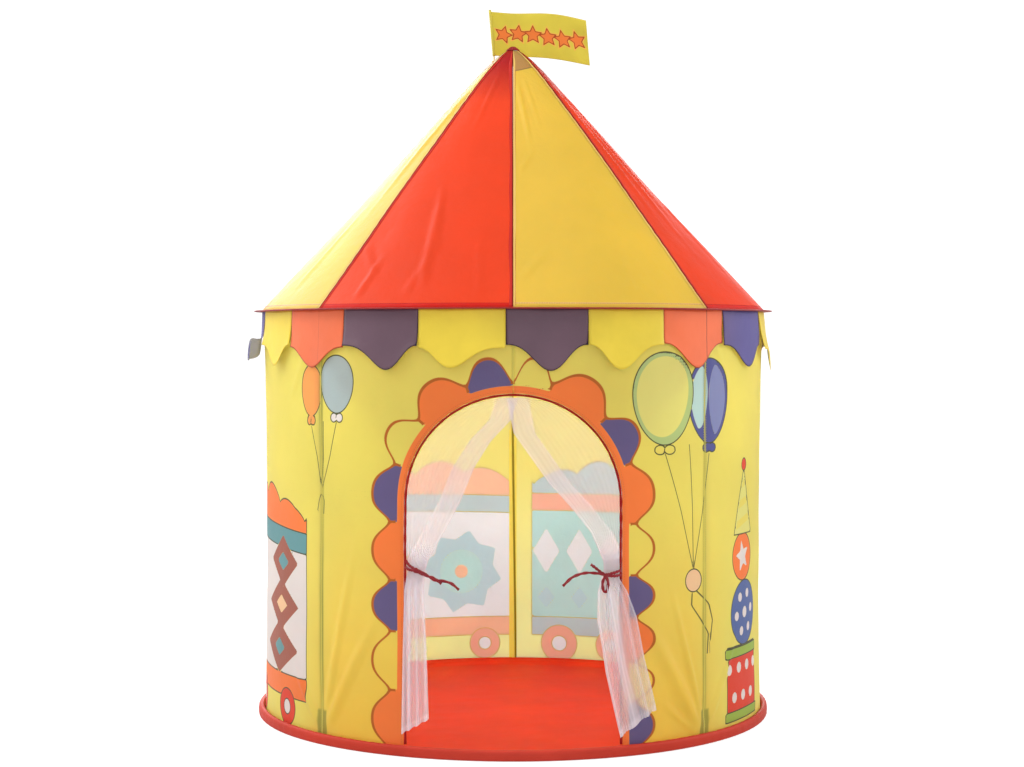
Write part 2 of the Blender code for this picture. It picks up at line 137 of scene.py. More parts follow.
class TentColours(bpy.types.PropertyGroup):
    """Colours of the tent's cloth and trim."""

    wall: colour_prop("Wall", "Ground colour of the printed wall", srgb(240, 228, 114))
    red: colour_prop("Red", "Red roof gores and floor", srgb(250, 80, 32))
    yellow: colour_prop("Yellow", "Yellow roof gores", srgb(246, 214, 54))
    orange: colour_prop("Orange", "Orange print and flaps", srgb(254, 138, 68))
    plum: colour_prop("Plum", "Plum blue print and flaps", srgb(112, 102, 148))
    teal: colour_prop("Teal", "Teal print", srgb(112, 166, 172))
    pool: colour_prop("Pale teal", "Pale teal print", srgb(166, 208, 200))
    white: colour_prop("White", "White print", srgb(238, 230, 226))
    blue: colour_prop("Blue", "Blue print", srgb(96, 118, 176))
    green: colour_prop("Green", "Green print", srgb(170, 200, 84))
    brick: colour_prop("Brick", "Red print", srgb(232, 74, 48))
    brown: colour_prop("Brown", "Brown print", srgb(176, 106, 88))
    mist: colour_prop("Mist", "Grey blue balloon", srgb(186, 196, 194))
    peach: colour_prop("Peach", "Pale orange balloon", srgb(250, 172, 96))
    lime: colour_prop("Lime", "Pale green balloon", srgb(236, 232, 140))
    leaf: colour_prop("Leaf", "Shaded edge of the pale green balloon", srgb(190, 212, 146))
    sky: colour_prop("Sky", "Light on the violet balloon", srgb(194, 224, 236))
    violet: colour_prop("Violet", "Violet balloon", srgb(92, 96, 172))
    lilac: colour_prop("Lilac", "Paler side of the violet balloon", srgb(138, 146, 206))
    pink: colour_prop("Pink", "Pale pink print", srgb(248, 210, 170))
    outline: colour_prop("Outline", "Outlines of the petals", srgb(194, 108, 40))
    ink: colour_prop("Ink", "Dark drawn lines", srgb(84, 88, 60))
    trim: colour_prop("Trim", "Bindings, piping and base sleeve", srgb(186, 28, 26))
    net: colour_prop("Net", "Net curtains", srgb(246, 244, 252))
    ribbon: colour_prop("Ribbon", "Ribbon ties", srgb(140, 8, 24))


class TentSizes(bpy.types.PropertyGroup):
    """Sizes of the cloth that a user may change."""

    pinch: FloatProperty(
        name="Wall pinch",
        description="How far the wall draws in half way up between two poles",
        default=0.005,
        unit="LENGTH",
    )
    sag: FloatProperty(
        name="Roof sag",
        description="How far the roof sinks between two poles",
        default=0.009,
        unit="LENGTH",
    )
    cloth: FloatProperty(
        name="Cloth thickness", description="Thickness of the polyester", default=0.0006, unit="LENGTH"
    )
    piping: FloatProperty(
        name="Piping radius", description="Radius of the doorway's piping", default=0.0022, unit="LENGTH"
    )


def colours():
    return bpy.context.scene.tent_colours


def sizes():
    return bpy.context.scene.tent_sizes


# Places on the tent


def around(radius, degrees, height):
    """Points at that radius, angle and height, from numbers or arrays."""
    angle = np.radians(degrees)
    parts = np.broadcast_arrays(radius * np.sin(angle), -radius * np.cos(angle), height)
    return np.stack(parts, axis=-1)


def all_round(count):
    """Angles evenly spaced round the tent."""
    return np.linspace(-180.0, 180.0, count, endpoint=False)


def tube_turn(count):
    """Angles evenly spaced round a tube, in radians, as a row."""
    return np.linspace(0.0, 2.0 * math.pi, count, endpoint=False)[None, :]


def arc(degrees):
    """Distance round the wall's foot."""
    return math.radians(degrees) * WALL_FOOT_RADIUS


def blend(a, b, share):
    return a + (b - a) * share


def smooth(value, low, high):
    """0 below low, 1 above high, and an even curve between them."""
    t = np.clip((value - low) / (high - low), 0.0, 1.0)
    return t * t * (3.0 - 2.0 * t)


def near_to(value, middle, width):
    """1 at the middle, dying away over about that width to each side."""
    return np.exp(-(((value - middle) / width) ** 2))


def ripples(a, b, seed, scale):
    """A soft, even, repeatable ripple over two coordinates, about -1 to 1."""
    waves = 7
    rng = np.random.default_rng(seed)
    total = np.zeros(np.broadcast(a, b).shape)
    for _ in range(waves):
        turn = rng.uniform(0.0, math.pi)
        pitch = rng.uniform(0.6, 1.6) * 2.0 * math.pi / scale
        total = total + np.sin(pitch * (a * math.cos(turn) + b * math.sin(turn)) + rng.uniform(0.0, 6.28))
    return total / math.sqrt(2.0 * waves)


def squared(wave, power):
    """A sine or cosine wave with its humps squared off by a power below 1, or sharpened by one above."""
    return np.sign(wave) * np.abs(wave) ** power


def crease(a, b, start, end, width, height):
    """A fold along start to end in the (a, b) plane: a ridge with a dip beside it, dying at its far end."""
    ax, ay = start
    bx, by = end
    length = math.hypot(bx - ax, by - ay)
    ux, uy = (bx - ax) / length, (by - ay) / length
    along = (a - ax) * ux + (b - ay) * uy
    across = ((a - ax) * -uy + (b - ay) * ux) / width
    reach = smooth(along, -0.04 * length, 0.12 * length) * (1.0 - smooth(along, 0.45 * length, length))
    return height * reach * near_to(across, 0.0, 1.0) * np.cos(1.7 * across)


def between_poles(degrees):
    """1 half way between two poles and 0 at a pole."""
    return np.abs(np.cos(np.radians(2.0 * degrees))) ** 1.3


WALL_CREASES = [
    # (angle, height) at the near end, the same at the far end, width, height in metres
    ((44.0, 0.015), (27.5, 0.26), 0.020, 0.0080),
    ((44.5, 0.03), (34.0, 0.33), 0.010, 0.0044),
    ((43.5, 0.012), (31.0, 0.10), 0.010, 0.0036),
    ((-43.5, 0.03), (-28.0, 0.27), 0.016, 0.0056),
    ((-44.0, 0.05), (-34.0, 0.42), 0.013, 0.0036),
    ((-46.0, 0.03), (-58.0, 0.16), 0.011, 0.0034),
    ((46.0, 0.03), (60.0, 0.22), 0.012, 0.0034),
    ((44.0, 0.79), (30.0, 0.64), 0.012, 0.0020),
    ((-44.0, 0.79), (-29.0, 0.66), 0.012, 0.0020),
    ((3.0, 0.79), (16.0, 0.66), 0.011, 0.0022),
    ((-3.0, 0.79), (-15.0, 0.68), 0.010, 0.0020),
    ((134.0, 0.02), (118.0, 0.24), 0.011, 0.0032),
    ((136.0, 0.02), (152.0, 0.21), 0.011, 0.0028),
    ((134.0, 0.78), (120.0, 0.60), 0.012, 0.0022),
    ((-134.0, 0.02), (-119.0, 0.22), 0.011, 0.0030),
    ((-136.0, 0.02), (-153.0, 0.24), 0.011, 0.0030),
    ((-134.0, 0.78), (-121.0, 0.62), 0.012, 0.0022),
    ((46.0, 0.78), (58.0, 0.60), 0.012, 0.0020),
    ((-46.0, 0.78), (-60.0, 0.60), 0.012, 0.0020),
]


def wall_radius(degrees, height):
    """The printed wall's outer face: drawn in between the poles, with folds from the pole feet and tops."""
    degrees, height = np.broadcast_arrays(np.asarray(degrees, float), np.asarray(height, float))
    up = np.clip(height / WALL_HEIGHT, 0.0, 1.0)
    held = np.sin(math.pi * up) ** 0.85
    radius = WALL_FOOT_RADIUS + (WALL_TOP_RADIUS - WALL_FOOT_RADIUS) * up
    radius = radius - sizes().pinch * held * between_poles(degrees)
    across = np.radians(degrees) * WALL_FOOT_RADIUS
    room = smooth(height, 0.0, 0.05) * (1.0 - 0.8 * smooth(height, 0.72, 0.80))
    radius = radius + 0.0007 * room * ripples(across, height, 3, 0.16)
    radius = radius + 0.0016 * room * held * ripples(across, 0.35 * height, 8, 0.18)
    for (a0, z0), (a1, z1), width, tall in WALL_CREASES:
        start = (math.radians(a0) * WALL_FOOT_RADIUS, z0)
        end = (math.radians(a1) * WALL_FOOT_RADIUS, z1)
        radius = radius + room * crease(across, height, start, end, width, tall)
    return radius


def wall_point(degrees, height, lift=0.0):
    return around(wall_radius(degrees, height) + lift, degrees, height)


def door_edge_degrees(height):
    """The doorway's edge as an angle round the tent, at that height."""
    rise = np.maximum(0.0, np.asarray(height, float) - DOOR_SPRING)
    half = np.sqrt(np.maximum(0.0, DOOR_RADIUS**2 - rise**2))
    return np.degrees(np.arcsin(half / WALL_FOOT_RADIUS))


ROOF_CREASES = [
    # (angle, distance from the tent's middle) at the near end, the same at the far end, width, height
    ((-20.5, 0.475), (-27.0, 0.285), 0.012, 0.0044),
    ((-43.5, 0.40), (-32.0, 0.465), 0.009, 0.0040),
    ((-36.0, 0.49), (-34.7, 0.41), 0.009, 0.0040),
    ((-1.0, 0.405), (-30.0, 0.405), 0.004, 0.0012),
    ((-23.9, 0.485), (-21.4, 0.42), 0.009, 0.0026),
    ((-19.7, 0.42), (-29.0, 0.27), 0.010, 0.0024),
    ((-7.0, 0.49), (-10.0, 0.36), 0.009, 0.0020),
    ((-20.0, 0.07), (-24.0, 0.20), 0.007, 0.0016),
    ((4.8, 0.09), (9.5, 0.24), 0.007, 0.0030),
    ((14.0, 0.08), (17.0, 0.20), 0.006, 0.0020),
    ((3.0, 0.26), (11.4, 0.215), 0.007, 0.0026),
    ((1.5, 0.46), (12.0, 0.39), 0.008, 0.0026),
    ((27.0, 0.485), (29.0, 0.40), 0.009, 0.0018),
    ((50.0, 0.08), (52.5, 0.40), 0.008, 0.0026),
    ((57.0, 0.12), (59.0, 0.46), 0.009, 0.0024),
    ((64.0, 0.10), (65.0, 0.36), 0.009, 0.0026),
    ((72.0, 0.30), (71.0, 0.49), 0.010, 0.0022),
    ((-52.0, 0.10), (-55.0, 0.38), 0.009, 0.0022),
    ((-63.0, 0.47), (-61.0, 0.30), 0.010, 0.0022),
]


def back_creases():
    """Folds like those in front, spread over the gores at the back."""
    rng = np.random.default_rng(44)
    folds = []
    for start in (-180.0, -135.0, 90.0, 135.0):
        for _ in range(5):
            angle = start + rng.uniform(6.0, 39.0)
            near = rng.uniform(0.08, 0.48)
            far = near + rng.uniform(0.10, 0.26) * (1.0 if near < 0.25 else -1.0)
            turn = rng.uniform(-5.0, 5.0)
            width, height = rng.uniform(0.007, 0.011), rng.uniform(0.0016, 0.0028)
            folds.append(((angle, near), (angle + turn, far), width, height))
    return folds


ROOF_CREASES += back_creases()


def roof_point(degrees, out, lift=0.0):
    """The roof's outer face, bowed by the poles and sunk between them, raised square to its slope."""
    degrees, out = np.broadcast_arrays(np.asarray(degrees, float), np.asarray(out, float))
    share = np.clip(out / ROOF_FOOT_RADIUS, 1e-6, 1.0)
    bow = 0.0343 * share**0.35 * (1.0 - share) ** 1.2 * (1.0 - np.exp(-share / 0.03))
    sag = sizes().sag * np.clip(np.sin(math.pi * share**0.9), 0.0, 1.0) ** 1.2 * between_poles(degrees)
    held = np.clip(np.sin(math.pi * share), 0.0, 1.0)
    waves = 0.0011 * held * ripples(np.radians(degrees) * 0.3, out, 21, 0.17)
    low = smooth(share, 0.55, 0.8) * (1.0 - smooth(share, 0.93, 1.0))
    waves = waves + 0.0010 * low * ripples(np.radians(degrees) * 0.72, 0.4 * out, 22, 0.20)
    across = np.radians(degrees) * out
    for (a0, r0), (a1, r1), width, tall in ROOF_CREASES:
        start, end = (math.radians(a0) * r0, r0), (math.radians(a1) * r1, r1)
        waves = waves + crease(across, out, start, end, width, tall)
    seam = np.radians(np.abs((degrees + 22.5) % 45.0 - 22.5)) * out
    waves = waves + 0.0005 * np.exp(-seam / 0.012) * ripples(out, 3.7 * np.round(degrees / 45.0), 33, 0.018)
    rise = lift + bow - sag + waves * smooth(share, 0.02, 0.10) * (1.0 - smooth(share, 0.975, 1.0))
    radius = out + rise * math.sin(ROOF_ANGLE)
    height = APEX_HEIGHT - ROOF_SLOPE * out + rise * math.cos(ROOF_ANGLE)
    return around(radius, degrees, height)


# Meshes


def grid_mesh(name, points, values=None, flat=None, ring=False):
    """A smooth mesh over points[row, column], with named float values and a UV map in metres.

    ring joins the last column to the first. A face looks along column step x row step.
    """
    rows, columns = points.shape[:2]
    index = np.arange(rows * columns).reshape(rows, columns)
    if ring:
        index = np.concatenate([index, index[:, :1]], axis=1)
    corners = [index[:-1, :-1], index[:-1, 1:], index[1:, 1:], index[1:, :-1]]
    faces = np.stack(corners, axis=-1).reshape(-1, 4)
    mesh = bpy.data.meshes.new(name)
    mesh.from_pydata(points.reshape(-1, 3).tolist(), [], faces.tolist())
    mesh.polygons.foreach_set("use_smooth", [True] * len(mesh.polygons))
    for key, value in (values or {}).items():
        layer = mesh.attributes.new(key, "FLOAT", "POINT")
        value = np.broadcast_to(value, (rows, columns))
        layer.data.foreach_set("value", np.ascontiguousarray(value, dtype=np.float32).ravel())
    if flat is not None:
        spread = np.stack(np.broadcast_arrays(*flat), axis=-1).reshape(-1, 2)
        corner = np.empty(len(mesh.loops), dtype=np.int32)
        mesh.loops.foreach_get("vertex_index", corner)
        mesh.uv_layers.new(name="cloth").data.foreach_set("uv", spread[corner].ravel())
    mesh.update()
    return mesh


def joined(name, meshes):
    """One mesh from several, keeping their values and UV maps."""
    form = bmesh.new()
    for mesh in meshes:
        form.from_mesh(mesh)
        bpy.data.meshes.remove(mesh)
    whole = bpy.data.meshes.new(name)
    form.to_mesh(whole)
    form.free()
    return whole


def piece(name, mesh, materials, nodes=(), thickness=0.0):
    """Adds a finished piece to the scene, riding on the tent, in place of its solids.

    A thickness goes inwards, with the last of the materials on the inside.
    """
    obj = bpy.data.objects.new(name, mesh)
    for material in materials:
        mesh.materials.append(material)
    bpy.context.scene.collection.objects.link(obj)
    if thickness:
        solid = obj.modifiers.new("Thickness", "SOLIDIFY")
        solid.thickness = thickness
        solid.offset = -1.0
        solid.material_offset = len(materials) - 1
    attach(obj, "root")
    if nodes:
        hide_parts(*nodes)
    return obj


def run_along(path):
    """The distance along a path at each of its points."""
    step = np.linalg.norm(np.diff(path, axis=0), axis=1)
    return np.concatenate([[0.0], np.cumsum(step)])


def unit(vectors):
    return vectors / np.linalg.norm(vectors, axis=1)[:, None]


def closed(mesh, is_hole=None):
    """Fills the holes that is_hole picks, or merges a ring's two ends, and turns the faces outwards."""
    form = bmesh.new()
    form.from_mesh(mesh)
    if is_hole:
        edges = [edge for edge in form.edges if edge.is_boundary and is_hole(edge)]
        bmesh.ops.holes_fill(form, edges=edges)
    else:
        bmesh.ops.remove_doubles(form, verts=form.verts, dist=1e-6)
    bmesh.ops.recalc_face_normals(form, faces=form.faces)
    for face in form.faces:
        face.smooth = True
    form.to_mesh(mesh)
    form.free()
    return mesh


def sweep_mesh(name, path, outward, half_width, half_height, sides):
    """An oval tube along the path, its ends filled. Its half sizes may differ from point to point."""
    tangent = unit(np.gradient(path, axis=0))
    outward = unit(outward - tangent * (outward * tangent).sum(axis=1)[:, None])
    sideways = np.cross(outward, tangent)
    turn = np.arange(sides) * 2.0 * math.pi / sides
    across = (np.reshape(half_width, (-1, 1)) * np.cos(turn))[..., None]
    up = (np.reshape(half_height, (-1, 1)) * np.sin(turn))[..., None]
    points = path[:, None] + sideways[:, None] * across + outward[:, None] * up
    flat = (0.002 * np.arange(sides)[None, :], run_along(path)[:, None])
    return closed(grid_mesh(name, points, flat=flat, ring=True), lambda edge: True)


def hoop_mesh(name, radius, angle, height, turn, reach):
    """A tube round the tent, from the radius and height of each [place round the tent, round the tube]."""
    points = around(radius, angle, height)
    points = np.concatenate([points, points[:1]], axis=0)
    run = np.radians(np.append(angle, 180.0))[:, None] * reach
    return closed(grid_mesh(name, points, flat=(turn, run), ring=True))


def smooth_path(points, count):
    """Points evenly spaced on a smooth curve through the given ones."""
    points = np.asarray(points, float)
    padded = np.vstack([2 * points[0] - points[1], points, 2 * points[-1] - points[-2]])
    dense = []
    for p0, p1, p2, p3 in zip(padded, padded[1:], padded[2:], padded[3:]):
        for t in np.linspace(0.0, 1.0, 16, endpoint=False):
            bend = (2 * p0 - 5 * p1 + 4 * p2 - p3) * t**2
            twist = (3 * p1 - p0 - 3 * p2 + p3) * t**3
            dense.append(0.5 * (2 * p1 + (p2 - p0) * t + bend + twist))
    dense.append(points[-1])
    dense = np.asarray(dense)
    length = run_along(dense)
    wanted = np.linspace(0.0, length[-1], count)
    return np.stack([np.interp(wanted, length, dense[:, k]) for k in range(3)], axis=-1)


# Materials


class Kit:
    """Adds nodes to a material's tree: inputs by name are linked if they are sockets, or else set."""

    def __init__(self, name):
        self.material = bpy.data.materials.new(name)
        self.material.use_nodes = True
        self.tree = self.material.node_tree
        self.tree.nodes.clear()

    def add(self, kind, inputs=None, **settings):
        node = self.tree.nodes.new(kind)
        for key, value in settings.items():
            setattr(node, key, value)
        for key, value in (inputs or {}).items():
            socket = node.inputs[key]
            if isinstance(value, bpy.types.NodeSocket):
                self.tree.links.new(value, socket)
            elif socket.type == "RGBA" and len(value) == 3:
                socket.default_value = (*value, 1.0)
            else:
                socket.default_value = value
        return node

    def value(self, name):
        return self.add("ShaderNodeAttribute", attribute_name=name).outputs["Fac"]

    def math(self, operation, *values):
        inputs = dict(enumerate(values))
        return self.add("ShaderNodeMath", inputs, operation=operation).outputs[0]

    def ramp(self, value, low, high, out_low=0.0, out_high=1.0):
        inputs = {"Value": value, "From Min": low, "From Max": high, "To Min": out_low, "To Max": out_high}
        return self.add("ShaderNodeMapRange", inputs).outputs["Result"]

    def line(self, name, out, full, strength=1.0):
        """A line where the value is 0: full up to the distance full, and gone from the distance out."""
        return self.ramp(self.math("ABSOLUTE", self.value(name)), out, full, 0.0, strength)

    def mix(self, share, first, second, mode="MIX"):
        node = self.add("ShaderNodeMix", data_type="RGBA", blend_type=mode)
        for index, value in ((0, share), (6, first), (7, second)):
            socket = node.inputs[index]
            if isinstance(value, bpy.types.NodeSocket):
                self.tree.links.new(value, socket)
            elif index == 0:
                socket.default_value = value
            else:
                socket.default_value = (*value, 1.0)
        return node.outputs[2]

    def noise(self, scale, detail, roughness=0.5):
        where = self.add("ShaderNodeTexCoord").outputs["Object"]
        inputs = {"Vector": where, "Scale": scale, "Detail": detail, "Roughness": roughness}
        return self.add("ShaderNodeTexNoise", inputs).outputs["Fac"]

    def weave(self, pitch, strength, crinkle=0.0):
        """A bump of crossed threads on the piece's own UV map, over soft crinkles."""
        where = self.add("ShaderNodeUVMap", uv_map="cloth").outputs["UV"]
        threads = []
        for direction in ("X", "Y"):
            wave = self.add(
                "ShaderNodeTexWave",
                {"Vector": where, "Scale": 0.314 / pitch, "Distortion": 0.4, "Detail": 1.0},
                bands_direction=direction,
            )
            threads.append(wave.outputs["Fac"])
        cross = self.math("MULTIPLY", *threads)
        bump = self.add("ShaderNodeBump", {"Height": cross, "Strength": strength, "Distance": pitch / 3})
        if crinkle:
            soft = self.noise(28.0, 4.0, roughness=0.6)
            inputs = {"Height": soft, "Strength": crinkle, "Distance": 0.004, "Normal": bump.outputs[0]}
            bump = self.add("ShaderNodeBump", inputs)
        return bump.outputs["Normal"]

    def finish(self, shader):
        self.add("ShaderNodeOutputMaterial", {"Surface": shader})
        return self.material


def cloth_finish(kit, colour, roughness, through, normal, sheen=0.15, specular=0.35, nap=0.4):
    """Polyester: a soft sheen in front and light coming through from behind."""
    inputs = {
        "Base Color": colour,
        "Roughness": roughness,
        "Normal": normal,
        "Sheen Weight": sheen,
        "Sheen Roughness": nap,
        "Specular IOR Level": specular,
    }
    front = kit.add("ShaderNodeBsdfPrincipled", inputs).outputs[0]
    back = kit.add("ShaderNodeBsdfTranslucent", {"Color": colour, "Normal": normal}).outputs[0]
    mix = kit.add("ShaderNodeMixShader", {0: through, 1: front, 2: back})
    return kit.finish(mix.outputs[0])


def tinted(kit, colour, amount=0.10, scale=7.0):
    """The colour, a little uneven over the cloth as sewn polyester is."""
    patchy = kit.ramp(kit.noise(scale, 4.0), 0.3, 0.7, 1.0 - amount, 1.0 + 0.4 * amount)
    shade = kit.add("ShaderNodeCombineColor", {"Red": patchy, "Green": patchy, "Blue": patchy}).outputs[0]
    return kit.mix(1.0, colour, shade, "MULTIPLY")


def plain_cloth(
    name, colour, roughness=0.5, through=0.3, pitch=0.0007, crinkle=0.25, sheen=0.1, specular=0.3
):
    """Cloth of one colour. through is the share of light that comes from behind."""
    kit = Kit(name)
    normal = kit.weave(pitch, 0.25, crinkle)
    return cloth_finish(kit, tinted(kit, colour), roughness, through, normal, sheen, specular)


def plastic(name, colour, roughness):
    kit = Kit(name)
    grain = kit.noise(220.0, 2.0)
    normal = kit.add("ShaderNodeBump", {"Height": grain, "Strength": 0.15, "Distance": 0.0004}).outputs[0]
    spread = kit.ramp(kit.noise(40.0, 3.0), 0.3, 0.7, roughness - 0.06, roughness + 0.08)
    inputs = {"Base Color": tinted(kit, colour, 0.2, 30.0), "Roughness": spread, "Normal": normal}
    return kit.finish(kit.add("ShaderNodeBsdfPrincipled", inputs).outputs[0])


# The wall's print, as signed distances: below 0 is inside a shape


def outside(value, low, high):
    """How far a value lies outside the range from low to high."""
    return np.maximum(low - value, value - high)


def disc(s, z, centre, radius):
    return np.hypot(s - centre[0], z - centre[1]) - radius


def oval(s, z, centre, half_width, half_height, egg=0.0):
    """An oval, narrower below its middle by the share egg."""
    dz = (z - centre[1]) / half_height
    ds = (s - centre[0]) / (half_width * (1.0 + egg * np.clip(dz, -1.2, 1.2)))
    reach = np.hypot(ds, dz)
    slope = np.hypot(ds / half_width, dz / half_height) / np.maximum(reach, 1e-6)
    return (reach - 1.0) / np.maximum(slope, 1.0)


def slab(s, z, low, high):
    """A rectangle from low to high."""
    ds = outside(s, low[0], high[0])
    dz = outside(z, low[1], high[1])
    beyond = np.hypot(np.maximum(ds, 0.0), np.maximum(dz, 0.0))
    return beyond + np.minimum(np.maximum(ds, dz), 0.0)


def star(s, z, centre, radius, turn=0.0, arms=5, waist=0.42):
    """A pointed star, one arm up."""
    x, y = s - centre[0], z - centre[1]
    sector = math.pi / arms
    angle = np.arctan2(x, y) + turn
    angle = np.abs((angle + sector) % (2.0 * sector) - sector)
    reach = np.hypot(x, y)
    px, py = reach * np.cos(angle), reach * np.sin(angle)
    ix, iy = radius * waist * math.cos(sector), radius * waist * math.sin(sector)
    ex, ey = ix - radius, iy
    length = math.hypot(ex, ey)
    return ((px - radius) * -ey + py * ex) / -length


def strand(s, z, points):
    """Signed sideways distance from a line that runs down through the points, and its reach in height."""
    points = np.asarray(points, float)
    order = np.argsort(points[:, 1])
    line = np.interp(z, points[order, 1], points[order, 0])
    lean = np.gradient(points[order, 0], points[order, 1])
    slope = np.interp(z, points[order, 1], lean)
    off = (s - line) / np.hypot(1.0, slope)
    past = outside(z, points[:, 1].min(), points[:, 1].max())
    return off, past


# How far from its edge a printed shape is still measured, and what stands for far from any pen line
REACH = 0.05
FAR = 5.0
# Half the width of the plain edge of a shape that has no outline
PLAIN_EDGE = 0.003


class Print:
    """Inks laid over the wall's ground colour. A later ink covers an earlier one."""

    INKS = tuple(
        "orange plum teal pool white blue green brick brown "
        "mist peach lime leaf sky violet lilac pink ground".split()
    )

    def __init__(self, shape):
        self.inks = {ink: np.full(shape, REACH) for ink in self.INKS}
        self.plain = np.full(shape, REACH)
        self.pen = np.full(shape, FAR)

    def lay(self, ink, shape, drawn=True):
        """Lays an ink. A shape that isn't drawn has no outline."""
        for other, area in self.inks.items():
            self.inks[other] = np.maximum(area, -shape)
        self.inks[ink] = np.minimum(self.inks[ink], shape)
        if drawn:
            self.plain = np.maximum(self.plain, -shape)
        else:
            self.plain = np.minimum(self.plain, np.abs(shape) - PLAIN_EDGE)

    def values(self):
        inks = {"ink_" + ink: np.clip(area, -REACH, REACH) for ink, area in self.inks.items()}
        return {**inks, "ink_plain": self.plain, "ink_pen": self.pen}


def door_spread(degrees, height):
    """Distance out from the doorway's edge, and distance round it from the middle of the arch."""
    edge = math.asin(DOOR_RADIUS / WALL_FOOT_RADIUS)
    angle = np.radians(np.abs(degrees))
    beside = DOOR_RADIUS + (angle - edge) * WALL_FOOT_RADIUS
    x = np.where(angle < edge, np.sin(angle) * WALL_FOOT_RADIUS, beside)
    rise = height - DOOR_SPRING
    out = np.where(rise > 0.0, np.hypot(x, rise), x) - DOOR_RADIUS
    turn = np.where(rise > 0.0, np.arctan2(x, np.maximum(rise, 0.0)), math.pi / 2.0)
    return out, DOOR_RADIUS * turn - np.minimum(rise, 0.0)


# Where each petal of the border ends, in metres round the doorway from the middle of the arch
PETALS = {
    1.0: (
        ("ground", 0.062), ("orange", 0.164), ("plum", 0.248), ("orange", 0.350), ("ground", 0.443),
        ("plum", 0.520), ("orange", 0.600), ("ground", 0.672), ("plum", 0.760),
    ),
    -1.0: (
        ("plum", 0.075), ("orange", 0.168), ("ground", 0.249), ("plum", 0.346),
        ("orange", 0.452), ("plum", 0.544), ("ground", 0.650), ("orange", 0.760),
    ),
}
# How far from the doorway the plain band, the dips between petals and their tips reach
PETAL_BAND = 0.0135
PETAL_DIP = 0.029
PETAL_TIP = 0.066
# Turns height over a petal's rim into about the distance from it
PETAL_SLOPE = 0.75


def print_petals(art, degrees, height):
    """The scalloped border of petals round the doorway."""
    out, run = door_spread(degrees, height)
    side = np.where(degrees < 0.0, -1.0, 1.0)
    for hand, petals in PETALS.items():
        start = 0.0
        for ink, end in petals:
            share = (run - start) / (end - start)
            lean = share + 0.06 * np.sin(2.0 * math.pi * np.clip(share, 0.0, 1.0))
            bump = (0.5 - 0.5 * np.cos(2.0 * math.pi * np.clip(lean, 0.0, 1.0))) ** 0.85
            dip = PETAL_DIP
            if start == 0.0:
                dip = blend(0.019, PETAL_DIP, np.clip(share, 0.0, 1.0))
            edge = dip + (PETAL_TIP - dip) * bump
            petal = np.maximum((out - edge) * PETAL_SLOPE, outside(run, start, end))
            petal = np.maximum(petal, PETAL_BAND - out)
            petal = np.maximum(petal, -side * hand * REACH)
            art.lay(ink, petal)
            start = end
    art.lay("orange", out - PETAL_BAND, drawn=False)


# How much narrower a balloon is below its middle, and how wide its plain rim is
BALLOON_EGG = 0.12
BALLOON_RIM = 0.008


def print_balloon(art, s, z, centre, half_width, half_height, ink, knot, patches):
    """A plain balloon over its knot. A patch is an ink, a place and a size, as shares of the balloon."""
    neck = centre[1] - 1.02 * half_height
    lobe = 0.15 * half_width + 0.002
    for side in (-0.85, 0.85):
        art.lay(knot, oval(s, z, (centre[0] + side * lobe, neck - 0.007), lobe, 0.0085))
    body = oval(s, z, centre, half_width, half_height, BALLOON_EGG)
    art.lay(ink, body)
    for tint, across, up, wide, tall in patches:
        middle = (centre[0] + across * half_width, centre[1] + up * half_height)
        patch = oval(s, z, middle, wide * half_width, tall * half_height, BALLOON_EGG)
        art.lay(tint, np.maximum(patch, body + BALLOON_RIM), drawn=False)
    return centre[0], neck - 0.014


def print_lines(art, s, z, lines, weight=1.0):
    """Pen lines that run down the cloth, each of (place round the wall, height). A low weight is bolder."""
    parity = np.ones_like(s)
    nearest = np.full(s.shape, FAR)
    for line in lines:
        off, past = strand(s, z, line)
        parity = parity * np.sign(off)
        nearest = np.minimum(nearest, np.where(past > 0.0, FAR, np.abs(off) * weight))
    pen = parity * nearest
    art.pen = np.where(np.abs(pen) <= np.abs(art.pen), pen, art.pen)


def print_front_balloons(art, s, z):
    """Two bunches of balloons on strings, one each side of the doorway."""
    shine = (("lilac", 0.5, 0.0, 0.5, 0.9), ("sky", -0.5, 0.1, 0.42, 0.75))
    right = (
        ((46.5, 0.636), 0.058, 0.079, "violet", "violet", shine),
        ((33.4, 0.642), 0.069, 0.085, "leaf", "ground", (("lime", -0.08, 0.07, 0.9, 0.9),)),
    )
    left = (
        ((-48.3, 0.654), 0.032, 0.048, "peach", "peach", ()),
        ((-40.2, 0.667), 0.0415, 0.0535, "mist", "white", ()),
    )
    bunches = (
        (right, (41.6, 0.3234), 0.02),
        (left, (-45.2, 0.468), 0.0),
    )
    for balloons, tie, spare in bunches:
        tops = []
        for (angle, height), half_width, half_height, ink, knot, patches in balloons:
            centre = (arc(angle), height)
            top = print_balloon(art, s, z, centre, half_width, half_height, ink, knot, patches)
            tops.append(top)
        tops.append(((tops[0][0] + tops[1][0]) / 2, tops[1][1] + spare))
        place = (arc(tie[0]), tie[1])
        lines = []
        for top in tops:
            middle = (blend(top[0], place[0], 0.5) + 0.003, blend(top[1], place[1], 0.5))
            lines.append([top, middle, place])
        print_lines(art, s, z, lines)
    left_tails = (
        ((-45.2, 0.467), (-46.0, 0.45), (-46.6, 0.428)),
        ((-45.2, 0.467), (-44.3, 0.45), (-44.5, 0.425)),
    )
    right_tails = (
        ((41.2, 0.285), (41.0, 0.2586), (43.9, 0.2305), (46.5, 0.2025), (46.0, 0.1606)),
        ((42.3, 0.2856), (46.5, 0.258), (47.9, 0.2265), (47.2, 0.189)),
    )
    for tails, weight in ((left_tails, 1.0), (right_tails, 0.55)):
        lines = [[(arc(angle), height) for angle, height in tail] for tail in tails]
        print_lines(art, s, z, lines, weight)
    art.lay("pink", disc(s, z, (arc(41.6), 0.3045), 0.021))


